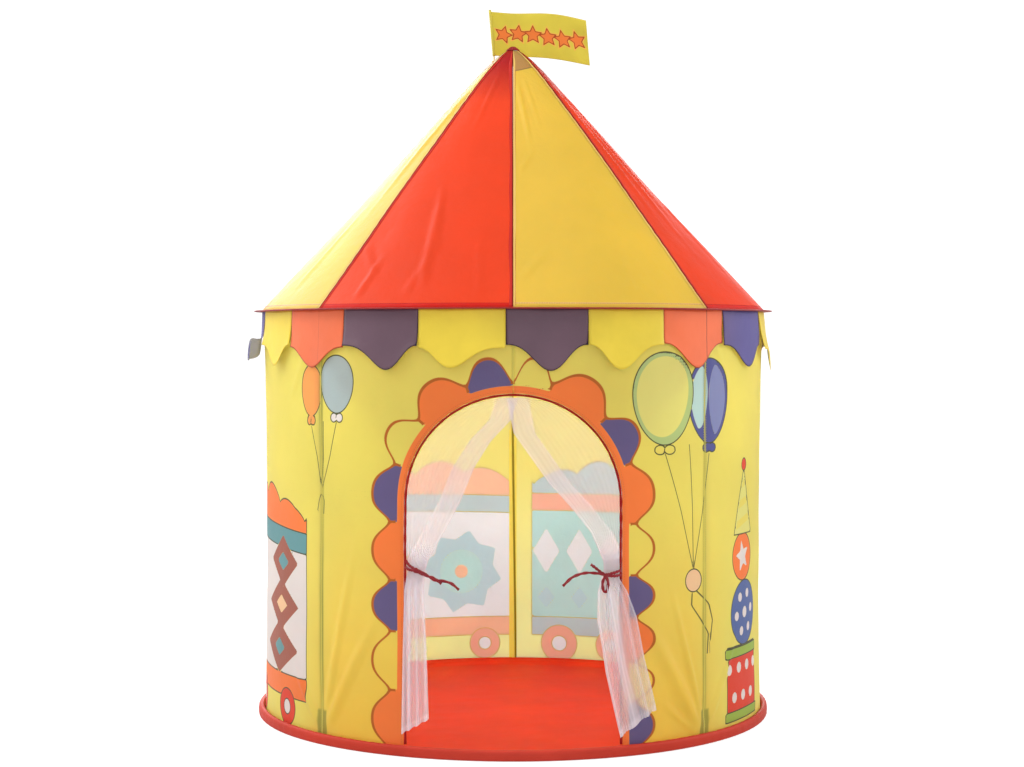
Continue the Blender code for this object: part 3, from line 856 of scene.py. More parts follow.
def print_balancing_act(art, s, z):
    """A drum, two balls and a party cone, one on another."""
    middle = arc(62.0)
    drum_foot, drum_top, drum_half = 0.03, 0.165, 0.072
    art.lay("brick", slab(s, z, (middle - drum_half, drum_foot), (middle + drum_half, drum_top)))
    for row in range(2):
        for column in range(3 + row):
            dot = (middle + (column - 1.0 - 0.5 * row) * 0.042, 0.068 + 0.055 * row)
            art.lay("white", disc(s, z, dot, 0.0105), drawn=False)
    rim = drum_half + 0.006
    for low in (drum_foot, drum_top - 0.015):
        art.lay("green", slab(s, z, (middle - rim, low - 0.006), (middle + rim, low + 0.012)))
    radius, small_radius = 0.062, 0.046
    ball = (middle + 0.006, drum_top + radius - 0.001)
    art.lay("blue", disc(s, z, ball, radius))
    for spoke in range(6):
        turn = spoke * math.pi / 3 + 0.4
        dot = (ball[0] + 0.038 * math.sin(turn), ball[1] + 0.038 * math.cos(turn))
        art.lay("white", disc(s, z, dot, 0.009), drawn=False)
    art.lay("white", disc(s, z, ball, 0.011), drawn=False)
    small = (middle - 0.004, ball[1] + radius + small_radius)
    art.lay("orange", disc(s, z, small, small_radius))
    art.lay("white", star(s, z, small, 0.033, 0.2), drawn=False)
    foot, tall = small[1] + 0.043, 0.132
    cone = np.abs(s - middle) - (0.044 - 0.34 * (z - foot))
    cone = np.maximum(cone * 0.94, outside(z, foot, foot + tall))
    art.lay("lime", cone)
    for stripe in range(3):
        low = foot + 0.018 + 0.036 * stripe + 0.25 * (s - middle)
        art.lay("ground", np.maximum(cone + 0.006, outside(z, low, low + 0.014)), drawn=False)
    art.lay("brick", disc(s, z, (middle, foot + tall + 0.001), 0.012))


def print_rosette(art, s, z, centre, radius, petal, middle, eye):
    """A round flower of eight petals with two discs in its middle."""
    art.lay(petal, star(s, z, centre, radius, 0.2, 8, 0.78), drawn=False)
    art.lay(middle, disc(s, z, centre, 0.52 * radius), drawn=False)
    art.lay(eye, disc(s, z, centre, 0.16 * radius), drawn=False)


def print_lozenge(art, s, z, centre, half_width, half_height, ink):
    """A diamond, one point up."""
    slope = math.hypot(1.0 / half_width, 1.0 / half_height)
    shape = (np.abs(s - centre[0]) / half_width + np.abs(z - centre[1]) / half_height - 1.0) / slope
    art.lay(ink, shape, drawn=False)


RING_HEIGHT = 0.049


def print_frieze(art, s, z, start, end, figure, lean, rings):
    """One board of the frieze: a scalloped awning over a board with plain shapes, and rings below."""
    wide = end - start
    sides = outside(s, start, end)
    share = np.clip((s - start) / wide, 0.0, 1.0)
    tilt = lean * (share - 0.5)
    humps = np.abs(np.sin(math.pi * (3.0 * share + 0.06))) ** 0.7
    rise = 0.030 * np.sin(math.pi * np.clip(share * 1.15, 0.0, 1.0))
    top = 0.416 + tilt + 0.024 * humps + rise
    low = 0.355 + tilt
    foot = 0.10
    white_board = figure != "diamonds"
    inks = ("orange", "teal", "white", "orange") if white_board else ("teal", "brick", "pool", "teal")
    awning, stripe, board, sill = inks
    art.lay(awning, np.maximum(sides, np.maximum(0.38 - z, (z - top) * 0.8)))
    art.lay(stripe, np.maximum(sides, outside(z, low - 0.002, low + 0.039)))
    art.lay(board, np.maximum(sides, outside(z, foot, low)))
    art.lay(sill, np.maximum(sides, outside(z, foot - 0.032, foot + 0.010)))
    middle = (start + end) / 2
    if figure == "lozenges":
        for row in range(3):
            place = (middle + 0.055 + 0.010 * (row - 1), 0.158 + 0.083 * row)
            print_lozenge(art, s, z, place, 0.088 - 0.010 * row, 0.050, "brown")
            print_lozenge(art, s, z, place, 0.030, 0.018, "pink" if row % 2 else "teal")
    elif figure == "rosette":
        inner = max(start, end, key=abs)
        place = (inner - math.copysign(0.117, inner), 0.215)
        print_rosette(art, s, z, place, 0.096, "mist", "pool", "orange")
        far = (inner - math.copysign(0.265, inner), 0.24)
        art.lay("orange", star(s, z, far, 0.042))
    else:
        for column in range(4):
            place = (middle + (column - 1.5) * 0.078, 0.262)
            print_lozenge(art, s, z, place, 0.031, 0.052, "white")
            print_lozenge(art, s, z, (place[0], 0.155), 0.020, 0.026, "mist")
    for place, size in rings:
        ring = (arc(place), RING_HEIGHT)
        art.lay("brick", disc(s, z, ring, size))
        art.lay("white", disc(s, z, ring, 0.42 * size))


FRIEZE = (
    # start, end, what stands on the board, how far it climbs, and its rings as (angle, radius)
    (-88.0, -50.5, "lozenges", -0.02, ((-79.5, 0.035), (-59.4, 0.035))),
    (-131.0, -93.0, "diamonds", 0.0, ((-122.0, 0.041), (-102.0, 0.035))),
    (-179.6, -139.5, "rosette", 0.012, ((-172.6, 0.035), (-148.0, 0.038))),
    (140.5, 175.0, "diamonds", 0.0, ((167.7, 0.042), (153.6, 0.036))),
    (94.0, 132.0, "rosette", 0.0, ((123.0, 0.035), (102.5, 0.041))),
)


def wall_print(degrees, height):
    """Everything printed on the wall between two seams."""
    art = Print(degrees.shape)
    s = np.radians(degrees) * WALL_FOOT_RADIUS
    print_petals(art, degrees, height)
    print_front_balloons(art, s, height)
    print_balancing_act(art, s, height)
    for start, end, figure, lean, rings in FRIEZE:
        print_frieze(art, s, height, arc(start), arc(end), figure, lean, rings)
    return {**art.values(), "door_spread": door_spread(degrees, height)[0]}


def printed_cloth(name, palette, floor_lit_ground, floor_lit_reach, line, pen, through, roughness):
    """Cloth with the wall's print on it. Its third argument is the ground colour painted low on the wall
    for the red floor's light and shade there, and its fourth how far from the doorway that painted light
    spreads.
    """
    ground = palette["ground"]
    kit = Kit(name)
    place = kit.add("ShaderNodeTexCoord").outputs["Object"]
    height = kit.add("ShaderNodeSeparateXYZ", {"Vector": place}).outputs["Z"]
    spread = kit.value("door_spread")
    # Painted light: low on the wall and near the doorway the ground turns to the colour given for the red
    # floor's light and shade
    floor_lit_share = kit.math("MULTIPLY", kit.ramp(height, 0.46, 0.06), kit.ramp(spread, *floor_lit_reach))
    base = kit.mix(floor_lit_share, ground, floor_lit_ground)
    colour = base
    edge = None
    for ink, shade in palette.items():
        area = kit.value("ink_" + ink)
        shade = base if ink == "ground" else shade
        colour = kit.mix(kit.ramp(area, 0.0004, -0.0004), colour, shade)
        near = kit.math("ABSOLUTE", area)
        edge = near if edge is None else kit.math("MINIMUM", edge, near)
    width = kit.ramp(spread, 0.070, 0.074, 0.0021, 0.0011)
    drawn = kit.ramp(kit.math("DIVIDE", edge, width), 1.25, 0.75)
    drawn = kit.math("MULTIPLY", drawn, kit.ramp(kit.value("ink_plain"), -0.0002, 0.0003))
    colour = kit.mix(drawn, colour, kit.mix(kit.ramp(spread, 0.070, 0.074), line, pen))
    colour = tinted(kit, kit.mix(kit.line("ink_pen", 0.0012, 0.0004), colour, pen), 0.06, 5.0)
    # Painted shadow: the poles and their pockets behind the cloth darken it to olive
    behind = kit.math("MULTIPLY", kit.value("painted_pole_shadow"), 0.55)
    colour = kit.mix(behind, colour, (0.16, 0.20, 0.03))
    normal = kit.weave(0.0007, 0.22, 0.32)
    return cloth_finish(kit, colour, roughness, through, normal, sheen=0.1)


# Operators, in the order that main calls them


def floor_sheet():
    """The floor, turned up at the back where it is sewn to the wall."""
    shade = srgb(228, 54, 24)
    red = plain_cloth("red floor satin", shade, 0.55, 0.1, crinkle=0.35, sheen=0.0, specular=0.15)
    radius = BASE_RADIUS - BASE_WIDTH - 0.0004
    share = np.linspace(0.0, 1.0, 44)[:, None]
    angle = all_round(132)[None, :]
    back = smooth(np.abs(angle), 60.0, 120.0)
    out = blend(0.004, radius - 0.0030 * back, share)
    x, y = out * np.sin(np.radians(angle)), -out * np.cos(np.radians(angle))
    waves = 0.0009 * ripples(x, y, 31, 0.22) + 0.0004 * ripples(x, y, 32, 0.07)
    upturn = 0.012 * back * smooth(share, 0.955, 1.0) ** 1.3
    height = FLOOR_TOP + 0.0012 + smooth(share, 1.0, 0.86) * waves + upturn
    points = around(out, angle, height)
    mesh = grid_mesh("floor", points[::-1], flat=(x[::-1], y[::-1]), ring=True)
    mesh = closed(mesh, lambda edge: edge.verts[0].co.xy.length < 0.01)
    if mesh.polygons[0].normal.z < 0.0:
        mesh.flip_normals()
    sheet = piece("floor_cloth", mesh, [red], ["floor_sheet"], 0.0009)


def base_sleeve():
    """The puckered sleeve round the base hoop, squarer below than above."""
    trim = plain_cloth(
        "red base sleeve", srgb(196, 58, 42), 0.5, 0.0, pitch=0.0009, crinkle=0.2, sheen=0.0, specular=0.15
    )
    inset = 0.0003
    angle = all_round(360)[:, None]
    pucker = 0.00035 * np.sin(np.radians(angle) * 118.0) + 0.0004 * ripples(angle * 0.01, 0.0, 5, 0.25)
    turn = tube_turn(24)
    power = np.where(np.sin(turn) < 0.0, 0.30, 0.75)
    side = squared(np.cos(turn), power) * (BASE_WIDTH / 2 - inset)
    rise = squared(np.sin(turn), power) * (BASE_HEIGHT / 2 - inset)
    radius = BASE_RADIUS - BASE_WIDTH / 2 + side + pucker * np.maximum(np.cos(turn), 0.0)
    height = BASE_HEIGHT / 2 + rise + 0.7 * pucker * np.maximum(np.sin(turn), 0.0)
    mesh = hoop_mesh("base sleeve", radius, angle, height, turn * 0.007, BASE_RADIUS)
    piece("base_sleeve_cloth", mesh, [trim], ["base_hoop_sleeve"])


class TENT_OT_floor(bpy.types.Operator):
    """The satin floor sheet and the sleeve round the base hoop"""

    bl_idname = "tent.floor"
    bl_label = "Floor and base sleeve"

    def execute(self, context):
        floor_sheet()
        base_sleeve()
        return {"FINISHED"}


def beside_door(start, end):
    return start == 0.0 or end == 0.0


def panel_grid(start, end):
    """Angles and heights of a wall panel's grid. A panel beside the doorway starts at its edge."""
    foot, top = FLOOR_TOP + 0.002, WALL_HEIGHT + 0.0012
    columns = round(arc(end - start) / GRID)
    gap = math.degrees(SEAM_GAP / WALL_FOOT_RADIUS)
    if not beside_door(start, end):
        heights = np.linspace(foot, top, round((top - foot) / GRID))
        return np.meshgrid(np.linspace(start + gap, end - gap, columns + 1), heights)
    crown = DOOR_SPRING + DOOR_RADIUS
    jamb = np.linspace(foot, DOOR_SPRING, round((DOOR_SPRING - foot) / GRID), endpoint=False)
    arch = DOOR_SPRING + DOOR_RADIUS * np.sin(np.linspace(0.0, math.pi / 2, 54))
    over = np.linspace(crown, top, round((top - crown) / GRID))[1:]
    heights = np.concatenate([jamb, arch, over])[:, None]
    near = np.maximum(np.where(heights < crown, door_edge_degrees(heights), gap), gap)
    angles = blend(near, end - start - gap, np.linspace(0.0, 1.0, columns + 1))
    if end == 0.0:
        angles = -angles[:, ::-1]
    return angles, np.broadcast_to(heights, angles.shape)


def painted_pole_shadow(degrees, height):
    """How strongly the painted shadow of a pole or its pocket shows through the wall, 0 to 1."""
    shade = np.zeros(degrees.shape)
    for angle in POLE_ANGLES.values():
        off = np.abs(np.radians(degrees - angle)) * WALL_FOOT_RADIUS
        faint = 0.55 + 0.35 * ripples(height, 0.0, 400 + int(angle), 0.4)
        pole = (1.0 - smooth(off, 0.0035, 0.0065)) * np.clip(faint, 0.15, 1.0)
        pocket = (1.0 - smooth(off, 0.0125, 0.0145)) * (1.0 - smooth(height, 0.060, 0.063))
        shade = np.maximum(shade, np.maximum(pole, 0.9 * pocket))
    return shade


# The print as it shows on the inside, and how much cooler it has to be than it looks there
INSIDE = {
    "orange": srgb(240, 236, 212),
    "teal": srgb(234, 242, 238),
    "pool": srgb(216, 240, 235),
    "white": srgb(236, 240, 238),
    "brick": srgb(248, 236, 208),
    "mist": srgb(212, 236, 238),
    "ground": srgb(240, 234, 158),
    "plum": srgb(214, 206, 220),
    "brown": srgb(240, 220, 200),
    "blue": srgb(220, 228, 244),
    "green": srgb(232, 240, 200),
}
INSIDE_COOL = np.array((0.94, 1.0, 1.10))
# The ground near the floor, where the red satin shines back on it
INSIDE_LOW = (0.85, 0.98, 0.78)


class TENT_OT_walls(bpy.types.Operator):
    """The printed wall panels, with a paler print inside"""

    bl_idname = "tent.walls"
    bl_label = "Printed walls"

    def execute(self, context):
        tone = colours()
        inks = {ink: tuple(getattr(tone, ink)) for ink in Print.INKS if ink != "ground"}
        inks["ground"] = tuple(tone.wall)
        pale = {ink: tuple(np.minimum(INSIDE[ink] * INSIDE_COOL, 0.98)) for ink in inks if ink in INSIDE}
        # The deeper gold given here is painted light: the red floor's warm light and shade, low on the
        # front panels
        outer = printed_cloth(
            "printed wall", inks, srgb(250, 212, 84), (0.27, 0.14), tone.outline, tone.ink, 0.40, 0.5
        )
        inner = printed_cloth(
            "printed wall inside", pale, INSIDE_LOW, (9.0, 8.0), pale["orange"], pale["ground"], 0.5, 0.6
        )
        for name, (start, end) in WALLS.items():
            degrees, height = panel_grid(start, end)
            values = {**wall_print(degrees, height), "painted_pole_shadow": painted_pole_shadow(degrees, height)}
            flat = (np.radians(degrees) * WALL_FOOT_RADIUS, height)
            mesh = grid_mesh("wall " + name, wall_point(degrees, height), values, flat)
            nodes = ["wall_" + name]
            panel = piece(
                "printed_wall_" + name, mesh, [outer, inner], nodes, sizes().cloth
            )
        return {"FINISHED"}


TAPE_WIDTH = 0.017
# Half the width of the sewn ridge at a wall seam
RIDGE = 0.0013


def seam_tape():
    """The tape over the back seam, inside the wall, with the seam's line slanting down it."""
    kit = Kit("seam tape")
    shade = tinted(kit, srgb(252, 244, 120), 0.06)
    shade = kit.mix(kit.line("tape_line", 0.0032, 0.0014), shade, srgb(150, 140, 30))
    tape = cloth_finish(kit, shade, 0.6, 0.4, kit.weave(0.0007, 0.2, 0.2), 0.0, 0.2)
    height = np.linspace(0.006, WALL_HEIGHT - 0.001, 120)[:, None]
    across = np.linspace(-TAPE_WIDTH / 2, TAPE_WIDTH / 2, 25)[None, :]
    degrees = 180.0 + np.degrees(across / WALL_FOOT_RADIUS)
    depth = sizes().cloth + 0.0008 + 0.0014 * near_to(across, 0.0, 0.003)
    points = around(wall_radius(degrees, height) - depth, degrees, height)
    values = {"tape_line": across - blend(-0.007, 0.004, height / WALL_HEIGHT)}
    mesh = grid_mesh("back seam", points, values, (across, height))
    obj = piece("back_seam_cloth", mesh, [tape], ["back_seam_tape"], 0.0004)


class TENT_OT_seams(bpy.types.Operator):
    """The back seam's tape inside the wall and the sewn ridges at the wall's seams"""

    bl_idname = "tent.seams"
    bl_label = "Wall seams"

    def execute(self, context):
        seam_tape()
        ridge = plain_cloth("wall seam", colours().wall, 0.55, 0.3)
        strips = []
        for angle in (-135.0, -45.0, 0.0, 45.0, 135.0, 180.0):
            low = 0.004 if angle else DOOR_SPRING + DOOR_RADIUS + 0.022
            height = np.linspace(low, WALL_HEIGHT - 0.001, 110)
            path = wall_point(angle, height, 0.0001)
            outward = around(np.ones(len(height)), angle, 0.0)
            strips.append(sweep_mesh("seam", path, outward, RIDGE, 0.55 * RIDGE, 8))
        piece("wall_seam_ridges", joined("wall seams", strips), [ridge])
        return {"FINISHED"}


def door_path(inset, lift, foot, count):
    """Points up one jamb, round the arch and down the other, on the wall's face.

    Their outward way and the distance along them come with them.
    """
    radius = DOOR_RADIUS - inset
    jamb, arch = DOOR_SPRING - foot, math.pi * radius
    run = np.linspace(0.0, 2.0 * jamb + arch, count)
    turn = np.clip(run - jamb, 0.0, arch) / radius
    z = foot + np.minimum(run, jamb) + radius * np.sin(turn) - np.maximum(run - jamb - arch, 0.0)
    degrees = np.degrees(np.arcsin(-radius * np.cos(turn) / WALL_FOOT_RADIUS))
    return wall_point(degrees, z, lift), around(1.0, degrees, 0.0), run


class TENT_OT_door(bpy.types.Operator):
    """The dark red piping round the doorway"""

    bl_idname = "tent.door"
    bl_label = "Doorway piping"

    def execute(self, context):
        dark = darker(colours().trim, 0.7)
        cloth = plain_cloth("door piping", dark, 0.6, 0.05, pitch=0.0006, sheen=0.0, specular=0.15)
        path, outward, run = door_path(0.0026, -0.0006, BASE_HEIGHT + 0.0006, 420)
        wobble = 1.0 + 0.12 * ripples(run, 0.0, 51, 0.03)
        radius = sizes().piping * wobble
        mesh = sweep_mesh("door piping", path, outward, radius, radius, 10)
        piece("door_piping", mesh, [cloth], ["door_binding"])
        return {"FINISHED"}


# Where the flaps of the two sides meet in front, in degrees
VALANCE_TURN = -1.5
# How many flaps hang at each side of the doorway, and how wide each is in degrees
SIDE_FLAPS = 10
FLAP_ARC = 18.0
# How far a flap hangs at its sides and at its tip
FLAP_SIDE = 0.065
FLAP_TIP = 0.106
# How far the ends of the flaps at the right of the doorway are moved, in degrees
FLAP_NUDGE = {1: -1.1, 2: -1.9, 3: -2.0}
# The cloths of the flaps from the doorway to each side, and the value that stands for each cloth
FLAPS_RIGHT = ("plum", "yellow", "orange")
FLAPS_LEFT = ("yellow", "plum", "orange")
FLAP_HUES = {"orange": 0.0, "plum": 1.0, "yellow": 2.0}
# The flap on each side that stands out: turned up on the left and a little lower on the right
ODD_FLAP = 4


def valance_cloths():
    """The flaps' front, in three cloths with drawn edges, and their lining."""
    kit = Kit("valance cloth")
    hue = kit.value("flap_hue")
    not_orange = kit.ramp(hue, 0.49, 0.51)
    # Painted light: the plum flaps in front are lit, warmer and lighter; round the sides they are shaded,
    # darker and bluer
    plum = kit.mix(kit.value("flap_side_shading"), srgb(114, 86, 100), srgb(94, 84, 154))
    colour = kit.mix(not_orange, srgb(254, 120, 72), plum)
    colour = kit.mix(kit.ramp(hue, 1.49, 1.51), colour, srgb(252, 222, 70))
    edge = kit.math("MULTIPLY", kit.line("flap_edge", 0.0018, 0.0008), kit.ramp(hue, 1.51, 1.49))
    drawn = kit.mix(not_orange, srgb(190, 70, 34), srgb(50, 36, 52))
    colour = kit.mix(edge, tinted(kit, colour, 0.12, 9.0), drawn)
    colour = kit.mix(kit.line("flap_seam", 0.0016, 0.0008, 0.7), colour, srgb(150, 50, 30))
    front = cloth_finish(kit, colour, 0.5, 0.10, kit.weave(0.0007, 0.25, 0.35))
    pale = blend(np.array(colours().plum), np.array((0.8, 0.8, 0.85)), 0.7)
    return [front, plain_cloth("valance lining", tuple(pale), 0.5, 0.3)]


def valance_flap(index, rng):
    """One flap, from its left end to its right and from its scalloped edge up to the eave."""
    right = index < SIDE_FLAPS
    step = index % SIDE_FLAPS
    start = VALANCE_TURN + (step * FLAP_ARC if right else -(step + 1) * FLAP_ARC)
    wide = FLAP_ARC
    if right:
        start += FLAP_NUDGE.get(step, 0.0)
        wide += FLAP_NUDGE.get(step + 1, 0.0) - FLAP_NUDGE.get(step, 0.0)
    cloth = (FLAPS_RIGHT if right else FLAPS_LEFT)[step % 3]
    side_drop = FLAP_SIDE + rng.uniform(-0.004, 0.004)
    tip_drop = FLAP_TIP + rng.uniform(-0.004, 0.004)
    out = rng.uniform(0.000, 0.004)
    curl = rng.uniform(-0.002, 0.005)
    twist = rng.uniform(-0.28, 0.28)
    u, v = np.meshgrid(np.linspace(-1.0, 1.0, 27), np.linspace(1.0, 0.0, 19))
    tip = (0.5 + 0.5 * np.cos(math.pi * (u + twist * (1.0 - u**2)))) ** 1.3
    drop = blend(side_drop, tip_drop, tip)
    over = 0.0015
    z = WALL_HEIGHT + over - (drop + over) * v
    degrees = start + wide * (0.5 + 0.5 * u * (0.996 - 0.004 * v))
    lift = out * v + curl * v**3 + 0.0016 * v * ripples(u, v + index, 60 + index, 1.3)
    if step == ODD_FLAP and right:
        lift = lift + 0.006 * v
        z = z - 0.006 * v**2
    elif step == ODD_FLAP:
        flip = smooth(v, 0.74, 1.0)
        lift = lift + 0.020 * flip**1.2
        z = z + 0.012 * flip**2
    seam = np.abs((degrees + 22.5) % 90.0 - 67.5) * math.radians(VALANCE_RADIUS)
    lift = lift + 0.0010 * v * near_to(seam, 0.0, 0.014) * ripples(z, 0.4 * seam, index, 0.016)
    values = {
        "flap_hue": FLAP_HUES[cloth],
        "flap_edge": np.minimum((1.0 - np.abs(u)) * arc(wide) / 2, drop * (1.0 - v) * 0.8),
        "flap_seam": seam,
        # How far a flap has turned to the painted shade at the sides, 0 in front and 1 round the sides
        "flap_side_shading": smooth(np.abs(degrees), 35.0, 62.0),
    }
    points = around(VALANCE_RADIUS + lift, degrees, z)
    return grid_mesh("flap", points, values, (np.radians(degrees) * 0.5, z))


class TENT_OT_valance(bpy.types.Operator):
    """The scalloped flaps that hang from the eave"""

    bl_idname = "tent.valance"
    bl_label = "Valance"

    def execute(self, context):
        rng = np.random.default_rng(12)
        mesh = joined("valance flaps", [valance_flap(index, rng) for index in range(2 * SIDE_FLAPS)])
        obj = piece("valance_flaps", mesh, valance_cloths(), ["valance"], 0.0005)
        return {"FINISHED"}


def gore_cloth(hue, shade):
    """Roof cloth with the doubled patch at its tip, the hem at its foot and the poles' shadows."""
    red = hue == "red"
    kit = Kit(hue + " gore")
    patch, hem = kit.value("apex_patch"), kit.value("gore_hem")
    dark = srgb(196, 24, 28) if red else srgb(204, 152, 70)
    fade = kit.ramp(patch, 0.0, 0.085) if red else kit.ramp(patch, -0.0005, 0.0005)
    colour = kit.mix(fade, tinted(kit, shade, 0.08, 4.0), dark)
    if red:
        colour = kit.mix(kit.ramp(hem, 0.0085, 0.0075, 0.0, 0.85), colour, srgb(232, 26, 22))
    else:
        colour = kit.mix(kit.line("apex_patch", 0.0014, 0.0008, 0.8), colour, darker(dark, 0.5))
        off_band = kit.math("ABSOLUTE", kit.math("SUBTRACT", hem, 0.0075))
        colour = kit.mix(kit.ramp(off_band, 0.0016, 0.0010, 0.0, 0.6), colour, srgb(250, 214, 150))
    # Painted shadow of the poles under the roof cloth
    behind = kit.math("MULTIPLY", kit.value("painted_pole_shadow"), 0.35)
    colour = kit.mix(behind, colour, darker(shade, 0.35))
    sheen, gloss = (0.0, 0.2) if red else (0.8, 0.8)
    return cloth_finish(kit, colour, 0.42, 0.36, kit.weave(0.0007, 0.2, 0.55), sheen, gloss, 0.22)


def roof_gores():
    """The eight gores, each from its foot up to its tip."""
    tone = colours()
    cloths = {"red": gore_cloth("red", tone.red), "yellow": gore_cloth("yellow", tone.yellow)}
    up = np.linspace(1.0, 0.0, 101)[:, None] ** 1.15
    across = np.linspace(0.0, 1.0, 61)[None, :]
    out = blend(0.0085, ROOF_HEM_RADIUS, up)
    gap = np.degrees(SEAM_GAP / out)
    for name, (start, hue) in GORES.items():
        degrees = start + gap + (45.0 - 2.0 * gap) * across
        # The poles' painted shadow on the gore, darkest over each pole's line
        shade = np.zeros(degrees.shape)
        for angle in POLE_ANGLES.values():
            off = np.abs(np.radians(degrees - angle)) * out
            shade = np.maximum(shade, 1.0 - smooth(off, 0.004, 0.010))
        patch = 0.125 if hue == "red" else 0.056 + 0.010 * (0.5 - across)
        values = {"apex_patch": patch - out, "painted_pole_shadow": shade, "gore_hem": ROOF_HEM_RADIUS - out}
        flat = (np.radians(degrees - start - 22.5) * out, out)
        mesh = grid_mesh("gore " + name, roof_point(degrees, out), values, flat)
        nodes = ["roof_gore_" + name]
        gore = piece("gore_" + name, mesh, [cloths[hue]], nodes, sizes().cloth)


# The strips sewn along each roof seam: name, cloth slot, shade, roughness and what comes through, looks,
# which side of the seam it lies (1 is towards the yellow gore), its width and how far it stands off
ROOF_STRIPS = (
    ("fold", "yellow_polyester", (250, 206, 110), (0.5, 0.15), {}, 1.0, 0.0046, 0.0),
    ("hem", "red_binding", (206, 36, 26), (0.55, 0.05), {"sheen": 0.0, "specular": 0.2}, -1.0, 0.0070, 0.0),
    ("seam", "red_binding", (120, 24, 16), (0.6, 0), {"sheen": 0.0, "specular": 0.1}, -1.0, 0.0019, 0.0006),
)


def roof_strips():
    """The folded edges and the drawn seam line beside each of the eight roof seams."""
    out = np.linspace(ROOF_FOOT_RADIUS + 0.0012, 0.010, 120)
    for kind, slot, shade, body, looks, towards, wide, raised in ROOF_STRIPS:
        strips = []
        for angle in range(-180, 180, 45):
            side = -towards if angle % 90 else towards
            uneven = 1.0 + 0.16 * ripples(out, 0.0, 600 + angle + int(side), 0.12)
            half = wide / 2 * np.clip(out / 0.045, 0.22, 1.0) * uneven
            degrees = angle + side * np.degrees((half + 0.0001) / out)
            line = roof_point(degrees, out, PROUD + raised)
            up = around(math.sin(ROOF_ANGLE), degrees, math.cos(ROOF_ANGLE))
            strips.append(sweep_mesh("roof seam", line, up, half, 0.0006, 8))
        cloth = plain_cloth("roof " + kind, srgb(*shade), *body, pitch=0.0006, **looks)
        piece(f"roof_{kind}s", joined(f"roof {kind}s", strips), [cloth])


def apex_tip():
    """The gathered tip over the hub, puckered at its rim."""
    knot = plain_cloth("apex tip", srgb(150, 24, 26), 0.5, 0.05, pitch=0.0006, sheen=0.0)
    turn = all_round(96)[None, :]
    share = np.linspace(1.0, 0.03, 12)[:, None]
    lobes = 1.0 + 0.10 * share * np.cos(np.radians(8.0 * turn))
    puckers = 0.0006 * share * np.cos(np.radians(16.0 * turn))
    top = APEX_HEIGHT + 0.0023
    points = around(0.0128 * share * lobes, turn, top - 0.0006 * share - 0.0082 * share**2.2 + puckers)
    mesh = grid_mesh("apex tip", points, flat=(0.013 * share, 0.0001 * turn), ring=True)
    mesh = closed(mesh, lambda edge: edge.verts[0].co.z > APEX_HEIGHT)
    piece("apex_tip", mesh, [knot], ["apex_cap"], 0.0006)


def eave_binding():
    """The binding round the eave hoop."""
    trim = plain_cloth("eave binding", darker(colours().trim, 0.75), 0.55, 0.05, pitch=0.0009)
    angle = all_round(360)[:, None]
    wave = 0.0005 * ripples(np.radians(angle), 0.0, 71, 0.9) + 0.00015 * np.sin(np.radians(angle) * 150.0)
    turn = tube_turn(16)
    half = (EAVE_RADIUS - EAVE_INNER) / 2
    side = squared(np.cos(turn), 0.6) * (half - 0.0002)
    rise = squared(np.sin(turn), 0.8) * 0.0015
    radius = EAVE_INNER + half + side + wave * (np.cos(turn) > 0.0)
    height = EAVE_TOP - 0.0016 + rise + wave * 0.5
    mesh = hoop_mesh("eave binding", radius, angle, height, turn * 0.008, EAVE_RADIUS)
    piece("eave_binding_cloth", mesh, [trim], ["eave_hoop_binding"])


class TENT_OT_roof(bpy.types.Operator):
    """The eight roof gores, the strips on their seams, the tip and the eave binding"""

    bl_idname = "tent.roof"
    bl_label = "Roof"

    def execute(self, context):
        roof_gores()
        roof_strips()
        apex_tip()
        eave_binding()
        return {"FINISHED"}


class TENT_OT_poles(bpy.types.Operator):
    """Finishes for the poles, elbows, hub, pockets, staff and socket"""

    bl_idname = "tent.poles"
    bl_label = "Poles and fittings"

    def execute(self, context):
        black = plastic("black moulding", (0.02, 0.02, 0.022), 0.45)
        finishes = (
            ("pole_pocket", plain_cloth("dark webbing", (0.035, 0.05, 0.045), 0.7, 0.0, pitch=0.0014)),
            ("pole", plastic("pole tube", (0.13, 0.17, 0.16), 0.4)),
            ("flag_staff", plastic("flag staff", srgb(238, 232, 190), 0.45)),
            ("elbow", black),
            ("apex_hub", black),
            ("flag_socket", plain_cloth("flag sleeve cloth", srgb(246, 224, 120), 0.5, 0.2)),
        )
        for name, node in frame["nodes"].items():
            finish = next((finish for word, finish in finishes if word in name), None)
            if finish:
                for slot in node.material_slots:
                    slot.material = finish
        return {"FINISHED"}


def net_material():
    """Sheer net, thicker where its folds gather."""
    kit = Kit("white net")
    alpha = kit.ramp(kit.value("net_gather"), 0.0, 1.0, 0.24, 0.94)
    colour = tinted(kit, colours().net, 0.04, 12.0)
    inputs = {"Base Color": colour, "Roughness": 0.7, "Sheen Weight": 0.3, "Specular IOR Level": 0.2}
    front = kit.add("ShaderNodeBsdfPrincipled", inputs).outputs[0]
    back = kit.add("ShaderNodeBsdfTranslucent", {"Color": colour}).outputs[0]
    solid = kit.add("ShaderNodeMixShader", {0: 0.45, 1: front, 2: back}).outputs[0]
    clear = kit.add("ShaderNodeBsdfTransparent").outputs[0]
    mix = kit.add("ShaderNodeMixShader", {0: alpha, 1: clear, 2: solid})
    return kit.finish(mix.outputs[0])


# The height of the ties
WAIST = 0.335
# How far the net's edge lies inside the doorway's
NET_INSET = 0.0060
NET_TOP = DOOR_SPRING + DOOR_RADIUS - NET_INSET - 0.0015
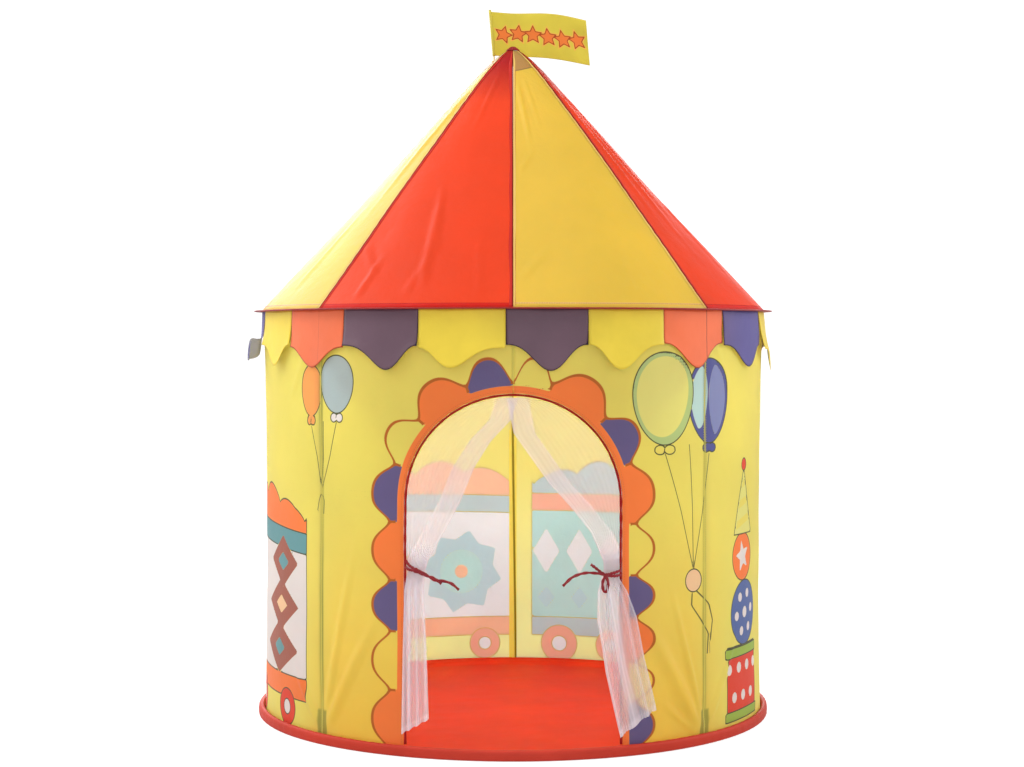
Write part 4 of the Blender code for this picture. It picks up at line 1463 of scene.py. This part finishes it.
# Heights down each curtain, with its free edge's x and the radius of its jamb edge and free edge there
CURTAIN_KEYS = {
    "right": (
        (NET_TOP, -0.012, 0.4990, 0.4993),
        (0.582, 0.001, 0.4975, 0.4988),
        (0.493, 0.064, 0.4975, 0.4985),
        (0.451, 0.102, 0.4975, 0.4985),
        (0.404, 0.139, 0.4980, 0.4985),
        (0.352, 0.162, 0.4985, 0.4995),
        (WAIST, 0.163, 0.4990, 0.5000),
        (0.318, 0.157, 0.5015, 0.5050),
        (0.298, 0.151, 0.5085, 0.5090),
        (0.250, 0.150, 0.5115, 0.5110),
        (0.160, 0.165, 0.5155, 0.5150),
        (0.060, 0.192, 0.5200, 0.5190),
    ),
    "left": (
        (NET_TOP, -0.010, 0.4985, 0.4980),
        (0.606, 0.004, 0.4975, 0.4978),
        (0.5685, 0.0395, 0.4975, 0.4980),
        (0.520, 0.0698, 0.4975, 0.4985),
        (0.458, 0.0948, 0.4975, 0.4985),
        (0.424, 0.1126, 0.4975, 0.4985),
        (0.357, 0.150, 0.4980, 0.4990),
        (WAIST, 0.158, 0.4980, 0.4990),
        (0.300, 0.160, 0.5050, 0.5030),
        (0.200, 0.155, 0.5070, 0.5050),
        (0.055, 0.151, 0.5085, 0.5060),
    ),
}
# The x of the jamb side's edge below the waist, as (height, x) from the hem up
CURTAIN_TAILS = {
    "right": (
        (0.060, 0.259), (0.160, 0.240), (0.250, 0.223), (0.298, 0.205),
        (0.318, 0.1915), (WAIST, 0.1895),
    ),
    "left": ((0.055, 0.2015), (0.200, 0.1985), (0.300, 0.1955), (WAIST, 0.1895)),
}


def curtain_rows(name, rows):
    """Heights, the x of the jamb edge and free edge, and the radius of both, from the arch to the hem."""
    heights, free, r_jamb, r_free = np.array(CURTAIN_KEYS[name][::-1]).T
    z = np.linspace(heights[-1], heights[0], rows)
    free, r_jamb, r_free = (np.interp(z, heights, keyed) for keyed in (free, r_jamb, r_free))
    jamb = DOOR_RADIUS - NET_INSET
    arch = np.sqrt(np.maximum(0.0, jamb**2 - np.maximum(0.0, z - DOOR_SPRING) ** 2))
    x_jamb = np.where(z > WAIST, arch, np.interp(z, *np.array(CURTAIN_TAILS[name]).T))
    on_wall = wall_radius(door_edge_degrees(z), z) - 0.0012
    r_jamb = np.where(z > WAIST, on_wall, r_jamb)
    return z, x_jamb, np.minimum(free, x_jamb - 0.001), r_jamb, r_free


PLEATS = 14
# How wide the doubled band along the free edge is
NET_BAND = 0.036
# How high above the hem's edge its seam lies
NET_HEM = 0.010


def curtain_mesh(name, side, rows=150, columns=126):
    """One curtain: pleats drawn in at the waist, folds below it, and how thickly the net gathers."""
    z, x_jamb, free, r_jamb, r_free = (row[:, None] for row in curtain_rows(name, rows))
    share = np.linspace(0.0, 1.0, columns)[None, :]
    x = blend(x_jamb, free, share)
    hang = smooth(WAIST - z, 0.0, 0.05)
    near = near_to(z, WAIST, 0.03)
    inward = np.abs(free - x_jamb) * (1.0 - share)
    band = (1.0 - smooth(inward, NET_BAND, NET_BAND + 0.005)) * (1.0 - 0.6 * hang)
    phase = ripples(share, z * 1.2, 80 + side, 0.9)
    pleats = np.sin(2.0 * math.pi * PLEATS * share + 1.1 * phase)
    folds = np.sin(2.0 * math.pi * 3.5 * share**0.8 + 1.6 * ripples(share, z * 0.8, 90 + side, 1.1))
    uneven = np.clip(0.62 + 0.8 * ripples(share, z * 0.6, 70 + side, 0.55), 0.0, 1.6)
    deep = 0.0001 + 0.0001 * band + 0.0044 * near + 0.0029 * hang * uneven
    radius = blend(r_jamb, r_free, share) + deep * pleats + 0.0066 * hang * (folds + 0.3)
    slant = (0.045 if side > 0 else -0.030) * smooth(0.20 - z, 0.0, 0.15)
    if side > 0:
        over_sleeve = 0.5075 * smooth(WAIST - 0.03 - z, 0.0, 0.01)
        radius = np.maximum(radius, over_sleeve)
    depth = np.sqrt(np.maximum(radius**2 - x**2, 0.01))
    points = np.stack(np.broadcast_arrays(side * x, -depth, z + slant * (0.5 - share)), axis=-1)

    above_hem = np.arange(rows)[::-1, None] * (z[0] - z[-1]) / rows
    hem = 1.0 - smooth(above_hem, NET_HEM, NET_HEM + 0.003)
    line = near_to(folds, 0.85, 0.1414)
    seams = near_to(inward, NET_BAND + 0.001, 0.0018) + near_to(inward, 0.002, 0.002)
    bunched = smooth(share, 0.55, 0.15) if side < 0 else near_to(share, 0.45, 0.2)
    pleat = 0.8 + 0.2 * (0.5 + 0.5 * pleats) ** 2
    gather = 0.05 + 0.42 * near * pleat + hang * (0.28 + 0.20 * bunched + 0.22 * line)
    gather = gather + band * (0.46 + 0.02 * ripples(inward, 0.1 * z, 95, 0.030)) + 0.14 * seams + 0.25 * hem
    gather = np.clip(gather, 0.0, 1.0)
    if side > 0:
        points, gather = points[:, ::-1], gather[:, ::-1]
    return grid_mesh("curtain " + name, points[::-1], {"net_gather": gather[::-1]})


class TENT_OT_curtains(bpy.types.Operator):
    """The two net curtains, drawn in at the waist"""

    bl_idname = "tent.curtains"
    bl_label = "Net curtains"

    def execute(self, context):
        net = net_material()
        for name, side in (("left", -1), ("right", 1)):
            obj = piece(
                "net_curtain_" + name, curtain_mesh(name, side), [net], ["curtain_" + name]
            )
        return {"FINISHED"}


# Where each knot sits and the places each ribbon passes through, as x, height and radius
KNOTS = {"left": (-0.176, 0.335, 0.5045), "right": (0.166, 0.326, 0.5065)}
RIBBONS = {
    "left": (
        ((-0.1935, 0.352, 0.5040), (-0.186, 0.343, 0.5055), (-0.172, 0.335, 0.5065)),
        ((-0.1935, 0.340, 0.5030), (-0.187, 0.336, 0.5060), (-0.174, 0.334, 0.5060)),
        (
            (-0.178, 0.337, 0.5055), (-0.160, 0.331, 0.5080), (-0.142, 0.320, 0.5070),
            (-0.126, 0.3185, 0.5085), (-0.110, 0.314, 0.5080), (-0.0965, 0.303, 0.5065),
        ),
        (
            (-0.178, 0.335, 0.5060), (-0.158, 0.327, 0.5062),
            (-0.142, 0.3225, 0.5060), (-0.128, 0.313, 0.5062),
        ),
    ),
    "right": (
        ((0.1945, 0.334, 0.5040), (0.183, 0.331, 0.5065), (0.166, 0.327, 0.5085)),
        ((0.1945, 0.326, 0.5045), (0.182, 0.325, 0.5075), (0.166, 0.326, 0.5085)),
        (
            (0.167, 0.328, 0.5085), (0.150, 0.3315, 0.5110), (0.128, 0.3325, 0.5090),
            (0.106, 0.3255, 0.5080), (0.0885, 0.3100, 0.5065),
        ),
        ((0.168, 0.326, 0.5085), (0.156, 0.334, 0.5105), (0.145, 0.343, 0.5095), (0.139, 0.3475, 0.5085)),
        (
            (0.166, 0.326, 0.5090), (0.170, 0.314, 0.5120), (0.168, 0.300, 0.5125),
            (0.162, 0.300, 0.5130), (0.160, 0.314, 0.5120), (0.165, 0.326, 0.5090),
        ),
    ),
}
RIBBON_WIDTH = 0.0058
RIBBON_THICKNESS = 0.0014


def in_front(x, z, radius):
    """The point in front at that x and height, that far from the tent's axis."""
    return (x, -math.sqrt(radius * radius - x * x), z)


def ribbon_mesh(places, index):
    """A flat ribbon through the places, a little narrower here and there, that turns as it goes."""
    facing = [(x / 2, -1.0, 0.5 * math.sin(step * 1.9 + index)) for step, (x, _, _) in enumerate(places)]
    count = 90
    share = np.linspace(0.0, 1.0, count)
    half = RIBBON_WIDTH / 2 * (0.75 + 0.25 * np.sin(share * 17.0) ** 2)
    line = smooth_path([in_front(*place) for place in places], count)
    return sweep_mesh("ribbon", line, smooth_path(facing, count), half, RIBBON_THICKNESS / 2, 12)


def knot_mesh(place):
    """The knot of a ribbon, a small uneven lump."""
    centre = np.array(in_front(*place))
    mesh = bpy.data.meshes.new("knot")
    form = bmesh.new()
    bmesh.ops.create_icosphere(form, subdivisions=3, radius=1.0)
    for vertex in form.verts:
        x, y, z = vertex.co
        bulge = 1.0 + 0.12 * math.sin(7.0 * x + 5.0 * z)
        vertex.co = centre + np.array((x * 0.0052, y * 0.0036, z * 0.0048)) * bulge
    for face in form.faces:
        face.smooth = True
    form.to_mesh(mesh)
    form.free()
    return mesh


class TENT_OT_ties(bpy.types.Operator):
    """The ribbons that tie the curtains back, with their knots"""

    bl_idname = "tent.ties"
    bl_label = "Ribbon ties"

    def execute(self, context):
        kit = Kit("satin ribbon")
        normal = kit.weave(0.0005, 0.2, 0.5)
        shade = tinted(kit, colours().ribbon, 0.25, 60.0)
        inputs = {"Base Color": shade, "Roughness": 0.35, "Normal": normal, "Specular IOR Level": 0.4}
        satin = kit.finish(kit.add("ShaderNodeBsdfPrincipled", inputs).outputs[0])
        for name, ribbons in RIBBONS.items():
            meshes = [ribbon_mesh(places, index) for index, places in enumerate(ribbons)]
            mesh = joined("ribbon " + name, [*meshes, knot_mesh(KNOTS[name])])
            piece("ribbon_tie_" + name, mesh, [satin], ["tie_" + name])
        return {"FINISHED"}


FLAG_WIDTH = 0.196
FLAG_HEIGHT = 0.092
FLAG_TOP = 1.425
# The foot of the staff, which leans to the left, and the radius of the flag's sleeve round it
STAFF_FOOT = (-0.0385, 0.035, 1.3235)
STAFF_LEAN = math.tan(math.radians(5.0))
SLEEVE_RADIUS = 0.0026


def staff_x(height):
    return STAFF_FOOT[0] - STAFF_LEAN * (height - STAFF_FOOT[2])


def flag_cloth():
    """Yellow cloth with the printed stars, each in a pale edge and an outline."""
    kit = Kit("flag cloth")
    colour = tinted(kit, srgb(230, 216, 84), 0.08, 14.0)
    distance = kit.value("flag_star")
    colour = kit.mix(kit.ramp(distance, 0.0030, 0.0016), colour, srgb(248, 196, 96))
    colour = kit.mix(kit.ramp(distance, 0.0003, -0.0003), colour, srgb(240, 146, 66))
    colour = kit.mix(kit.line("flag_star", 0.0012, 0.0006), colour, srgb(186, 84, 30))
    return cloth_finish(kit, colour, 0.5, 0.35, kit.weave(0.0007, 0.25, 0.3))


def flag_mesh():
    """The waving flag, from its lower edge up, with the distance from its stars."""
    u, v = np.meshgrid(np.linspace(0.0, 1.0, 109), np.linspace(0.0, 1.0, 51))
    z = FLAG_TOP - FLAG_HEIGHT * (1.0 - v)
    x = staff_x(z) + 0.0022 + FLAG_WIDTH * u
    z = z - 0.0165 * u**2 - 0.0012 * np.sin(7.0 * u) + 0.0022 * (1.0 - v) * np.sin(5.0 * u + 0.6)
    y = STAFF_FOOT[1] + 0.007 * np.sin(2.2 * math.pi * u)
    y = y + 0.0022 * ripples(u, 0.5 * v, 90, 0.5) * smooth(u, 0.0, 0.2)
    s, t = u * FLAG_WIDTH, v * FLAG_HEIGHT
    stars = np.full(u.shape, REACH)
    for index in range(6):
        centre = (0.0215 + index * 0.0305, 0.0455 + 0.0035 * math.sin(index * 1.3))
        stars = np.minimum(stars, star(s, t, centre, 0.0185, 0.12 * (index - 2.5), waist=0.48))
    return grid_mesh("flag", np.stack([x, y, z], axis=-1), {"flag_star": stars}, (s, t))


class TENT_OT_flag(bpy.types.Operator):
    """The small waving flag with a row of stars"""

    bl_idname = "tent.flag"
    bl_label = "Flag"

    def execute(self, context):
        obj = piece("flag_cloth", flag_mesh(), [flag_cloth()], ["flag"], 0.0005)
        hem = plain_cloth("flag hem", srgb(236, 222, 96), 0.5, 0.3)
        height = np.linspace(FLAG_TOP - FLAG_HEIGHT + 0.0005, FLAG_TOP + 0.0035, 24)
        line = np.stack([staff_x(height), np.full(24, STAFF_FOOT[1]), height], axis=-1)
        toward = np.tile((1.0, 0.0, 0.0), (24, 1))
        sleeve = sweep_mesh("flag sleeve", line, toward, SLEEVE_RADIUS, SLEEVE_RADIUS, 12)
        piece("flag_hem", sleeve, [hem])
        return {"FINISHED"}


# How far apart the stitches start, how long each is and its thread's radius, in metres
STITCH = {"Spacing": 0.0045, "Stitch length": 0.0029, "Thread radius": 0.00028}
# How far from its seam or edge each row of stitches runs
WALL_STITCH = 0.0036
DOOR_STITCH = 0.0045
ROOF_STITCH = 0.0045
EAVE_STITCH = 0.005


def stitch_tree(material):
    """Geometry Nodes: small stitches laid end to end, with gaps, along every edge line of the mesh."""
    tree = bpy.data.node_groups.new("Stitches", "GeometryNodeTree")
    face = tree.interface
    face.new_socket("Geometry", in_out="INPUT", socket_type="NodeSocketGeometry")
    for name, default in STITCH.items():
        socket = face.new_socket(name, in_out="INPUT", socket_type="NodeSocketFloat")
        socket.default_value = default
        socket.subtype = "DISTANCE"
    face.new_socket("Geometry", in_out="OUTPUT", socket_type="NodeSocketGeometry")
    nodes = tree.nodes
    enter, leave = nodes.new("NodeGroupInput"), nodes.new("NodeGroupOutput")
    curve = nodes.new("GeometryNodeMeshToCurve")
    spaced = nodes.new("GeometryNodeResampleCurve")
    spaced.mode = "LENGTH"
    tangent = nodes.new("GeometryNodeInputTangent")
    align = nodes.new("FunctionNodeAlignRotationToVector")
    align.axis = "Z"
    thread = nodes.new("GeometryNodeMeshCylinder")
    thread.inputs["Vertices"].default_value = 5
    lay = nodes.new("GeometryNodeInstanceOnPoints")
    real = nodes.new("GeometryNodeRealizeInstances")
    coat = nodes.new("GeometryNodeSetMaterial")
    coat.inputs["Material"].default_value = material
    pairs = (
        (enter.outputs["Geometry"], curve.inputs[0]),
        (curve.outputs[0], spaced.inputs["Curve"]),
        (enter.outputs["Spacing"], spaced.inputs["Length"]),
        (tangent.outputs[0], align.inputs["Vector"]),
        (enter.outputs["Thread radius"], thread.inputs["Radius"]),
        (enter.outputs["Stitch length"], thread.inputs["Depth"]),
        (spaced.outputs[0], lay.inputs["Points"]),
        (thread.outputs["Mesh"], lay.inputs["Instance"]),
        (align.outputs[0], lay.inputs["Rotation"]),
        (lay.outputs[0], real.inputs[0]),
        (real.outputs[0], coat.inputs[0]),
        (coat.outputs[0], leave.inputs[0]),
    )
    for source, target in pairs:
        tree.links.new(source, target)
    return tree


def stitched(name, lines, shade):
    """A piece of stitches along the lines, each a list of points."""
    material = plain_cloth(name.replace("_", " "), shade, 0.6, 0.0, pitch=0.0004, crinkle=0.0)
    tree = stitch_tree(material)
    mesh = bpy.data.meshes.new(name + " lines")
    points, edges = [], []
    for line in lines:
        first = len(points)
        points += [tuple(point) for point in line]
        edges += [(first + k, first + k + 1) for k in range(len(line) - 1)]
    mesh.from_pydata(points, edges, [])
    guide = bpy.data.objects.new(name + " lines", mesh)
    bpy.context.scene.collection.objects.link(guide)
    modifier = guide.modifiers.new("Stitches", "NODES")
    modifier.node_group = tree
    for item in tree.interface.items_tree:
        if item.name in STITCH:
            modifier[item.identifier] = STITCH[item.name]
    evaluated = guide.evaluated_get(bpy.context.evaluated_depsgraph_get())
    result = bpy.data.meshes.new_from_object(evaluated)
    bpy.data.objects.remove(guide)
    piece(name, result, [])


class TENT_OT_stitches(bpy.types.Operator):
    """Rows of stitches beside the seams, hems and piping"""

    bl_idname = "tent.stitches"
    bl_label = "Stitches"

    def execute(self, context):
        tone = colours()
        lines = []
        height = np.linspace(0.03, WALL_HEIGHT - 0.004, 120)
        beside = math.degrees(WALL_STITCH / WALL_FOOT_RADIUS)
        for angle in (-135.0, -45.0, 45.0, 135.0, 180.0):
            for side in (-1.0, 1.0):
                lines.append(wall_point(angle + beside * side, height, PROUD))
        stitched("wall_seam_stitches", lines, darker(tone.wall, 0.75))
        path, _, _ = door_path(-DOOR_STITCH, PROUD, BASE_HEIGHT + 0.004, 360)
        stitched("door_stitches", [path], darker(tone.orange, 0.7))
        lines = []
        out = np.linspace(ROOF_FOOT_RADIUS - 0.003, 0.05, 120)
        for angle in range(-180, 180, 45):
            for side in (-1.0, 1.0):
                lines.append(roof_point(angle + side * np.degrees(ROOF_STITCH / out), out, PROUD))
        stitched("roof_seam_stitches", lines, srgb(214, 120, 40))
        line = roof_point(np.linspace(-180.0, 180.0, 400), ROOF_FOOT_RADIUS - EAVE_STITCH, PROUD)
        stitched("eave_stitches", [line], darker(tone.trim, 0.8))
        return {"FINISHED"}


# The tint of the two lights inside the tent
COOL = (0.9, 0.97, 1.0)
SOFTBOXES = (
    # name, place, what it points at, size, power and any tint
    ("key softbox", (-2.2, -0.6, 3.0), (0.0, 0.0, 1.0), (2.0, 2.0), 38.0),
    ("left softbox", (-2.6, 0.2, 1.4), (0.0, 0.0, 0.6), (2.0, 2.0), 18.0),
    ("right softbox", (2.6, -0.2, 1.5), (0.0, 0.0, 0.7), (2.0, 2.0), 30.0),
    ("back softbox", (0.0, 2.8, 1.6), (0.0, 0.0, 0.6), (2.6, 2.0), 60.0),
    ("back left softbox", (-1.9, 2.6, 2.6), (-0.3, 0.0, 1.1), (2.4, 2.4), 60.0),
    ("top softbox", (0.0, -0.8, 3.2), (0.0, 0.0, 0.0), (2.4, 2.4), 12.0),
    ("front softbox", (0.0, -4.2, 1.0), (0.0, 0.0, 0.7), (1.6, 1.2), 24.0),
    ("inside softbox", (0.0, 0.0, 0.95), (0.0, 0.0, 0.0), (0.3, 0.3), 1.3, COOL),
    ("inside fill", (0.0, -0.36, 0.74), (0.0, 0.5, 0.25), (0.5, 0.12), 4.7, COOL),
)


def softbox(name, place, aim, size, power, colour=(1.0, 1.0, 1.0)):
    """A soft light out of the camera's sight, turned from its place to its aim."""
    light = bpy.data.lights.new(name, "AREA")
    light.shape = "RECTANGLE"
    light.size, light.size_y = size
    light.energy = power
    light.color = colour
    obj = bpy.data.objects.new(name, light)
    obj.location = place
    away = np.array(place) - np.array(aim)
    turn = math.atan2(away[0], -away[1])
    drop = math.atan2(math.hypot(away[0], away[1]), away[2])
    obj.rotation_euler = (drop, 0.0, turn)
    obj.visible_camera = False
    bpy.context.scene.collection.objects.link(obj)


def studio_floor():
    """A wide pale floor, brighter to the camera than as a light."""
    mesh = bpy.data.meshes.new("studio floor")
    form = bmesh.new()
    bmesh.ops.create_grid(form, x_segments=1, y_segments=1, size=30.0)
    form.to_mesh(mesh)
    form.free()
    floor = bpy.data.objects.new("studio_floor", mesh)
    floor.location = (0.0, 0.0, -0.0005)
    bpy.context.scene.collection.objects.link(floor)
    kit = Kit("studio floor")
    matt = kit.add("ShaderNodeBsdfDiffuse", {"Color": (0.55, 0.55, 0.55)}).outputs[0]
    seen = kit.add("ShaderNodeLightPath").outputs["Is Camera Ray"]
    strength = kit.ramp(seen, 0.0, 1.0, 0.12, 0.70)
    glow = kit.add("ShaderNodeEmission", {"Color": (1.0, 1.0, 1.0), "Strength": strength}).outputs[0]
    kit.finish(kit.add("ShaderNodeAddShader", {0: matt, 1: glow}).outputs[0])
    mesh.materials.append(kit.material)


def studio_world():
    """White surroundings, brighter to the camera than as a light."""
    as_light, to_camera = 0.64, 1.12
    world = bpy.data.worlds.new("studio")
    world.use_nodes = True
    tree = world.node_tree
    seen = tree.nodes.new("ShaderNodeLightPath").outputs["Is Camera Ray"]
    lift = tree.nodes.new("ShaderNodeMath")
    lift.operation = "MULTIPLY_ADD"
    lift.inputs[1].default_value = to_camera - as_light
    lift.inputs[2].default_value = as_light
    tree.links.new(seen, lift.inputs[0])
    tree.links.new(lift.outputs[0], tree.nodes["Background"].inputs["Strength"])
    tree.nodes["Background"].inputs["Color"].default_value = (1.0, 1.0, 1.0, 1.0)
    bpy.context.scene.world = world


def studio_camera():
    """The photograph's view: level, from the front."""
    camera = bpy.data.cameras.new("camera")
    camera.lens = 66.8
    camera.sensor_width = 36.0
    camera.shift_y = -0.0454
    obj = bpy.data.objects.new("camera", camera)
    obj.location = (-0.002, -3.885, 0.754)
    obj.rotation_euler = (math.radians(90.0), 0.0, 0.0)
    bpy.context.scene.collection.objects.link(obj)
    bpy.context.scene.camera = obj


class TENT_OT_stage(bpy.types.Operator):
    """The pale floor, soft lights and the camera"""

    bl_idname = "tent.stage"
    bl_label = "Stage, lights and camera"

    def execute(self, context):
        context.scene.view_settings.view_transform = "Standard"
        studio_floor()
        studio_world()
        for light in SOFTBOXES:
            softbox(*light)
        studio_camera()
        return {"FINISHED"}


STEPS = (
    TENT_OT_stage,
    TENT_OT_floor,
    TENT_OT_walls,
    TENT_OT_seams,
    TENT_OT_door,
    TENT_OT_valance,
    TENT_OT_roof,
    TENT_OT_poles,
    TENT_OT_curtains,
    TENT_OT_ties,
    TENT_OT_flag,
    TENT_OT_stitches,
)


class TENT_PT_panel(bpy.types.Panel):
    """Lists the tent's pieces in the sidebar"""

    bl_idname = "TENT_PT_panel"
    bl_label = "Play tent"
    bl_space_type = "VIEW_3D"
    bl_region_type = "UI"
    bl_category = "Play tent"

    def draw(self, context):
        for step in STEPS:
            self.layout.operator(step.bl_idname)
        for group in (context.scene.tent_sizes, context.scene.tent_colours):
            for name in group.__annotations__:
                self.layout.prop(group, name)


CLASSES = (TentColours, TentSizes, *STEPS, TENT_PT_panel)


def register():
    for cls in CLASSES:
        bpy.utils.register_class(cls)
    bpy.types.Scene.tent_colours = PointerProperty(type=TentColours)
    bpy.types.Scene.tent_sizes = PointerProperty(type=TentSizes)


def unregister():
    del bpy.types.Scene.tent_sizes
    del bpy.types.Scene.tent_colours
    for cls in reversed(CLASSES):
        bpy.utils.unregister_class(cls)


def clear_startup():
    """Removes the startup scene's own cube, light and camera."""
    kept = {*frame["nodes"].values(), *frame["bodies"].values()}
    for obj in list(bpy.context.scene.objects):
        if obj not in kept:
            bpy.data.objects.remove(obj)


def main():
    register()
    clear_startup()
    for step in STEPS:
        group, name = step.bl_idname.split(".")
        getattr(getattr(bpy.ops, group), name)()


if __name__ == "__main__":
    main()
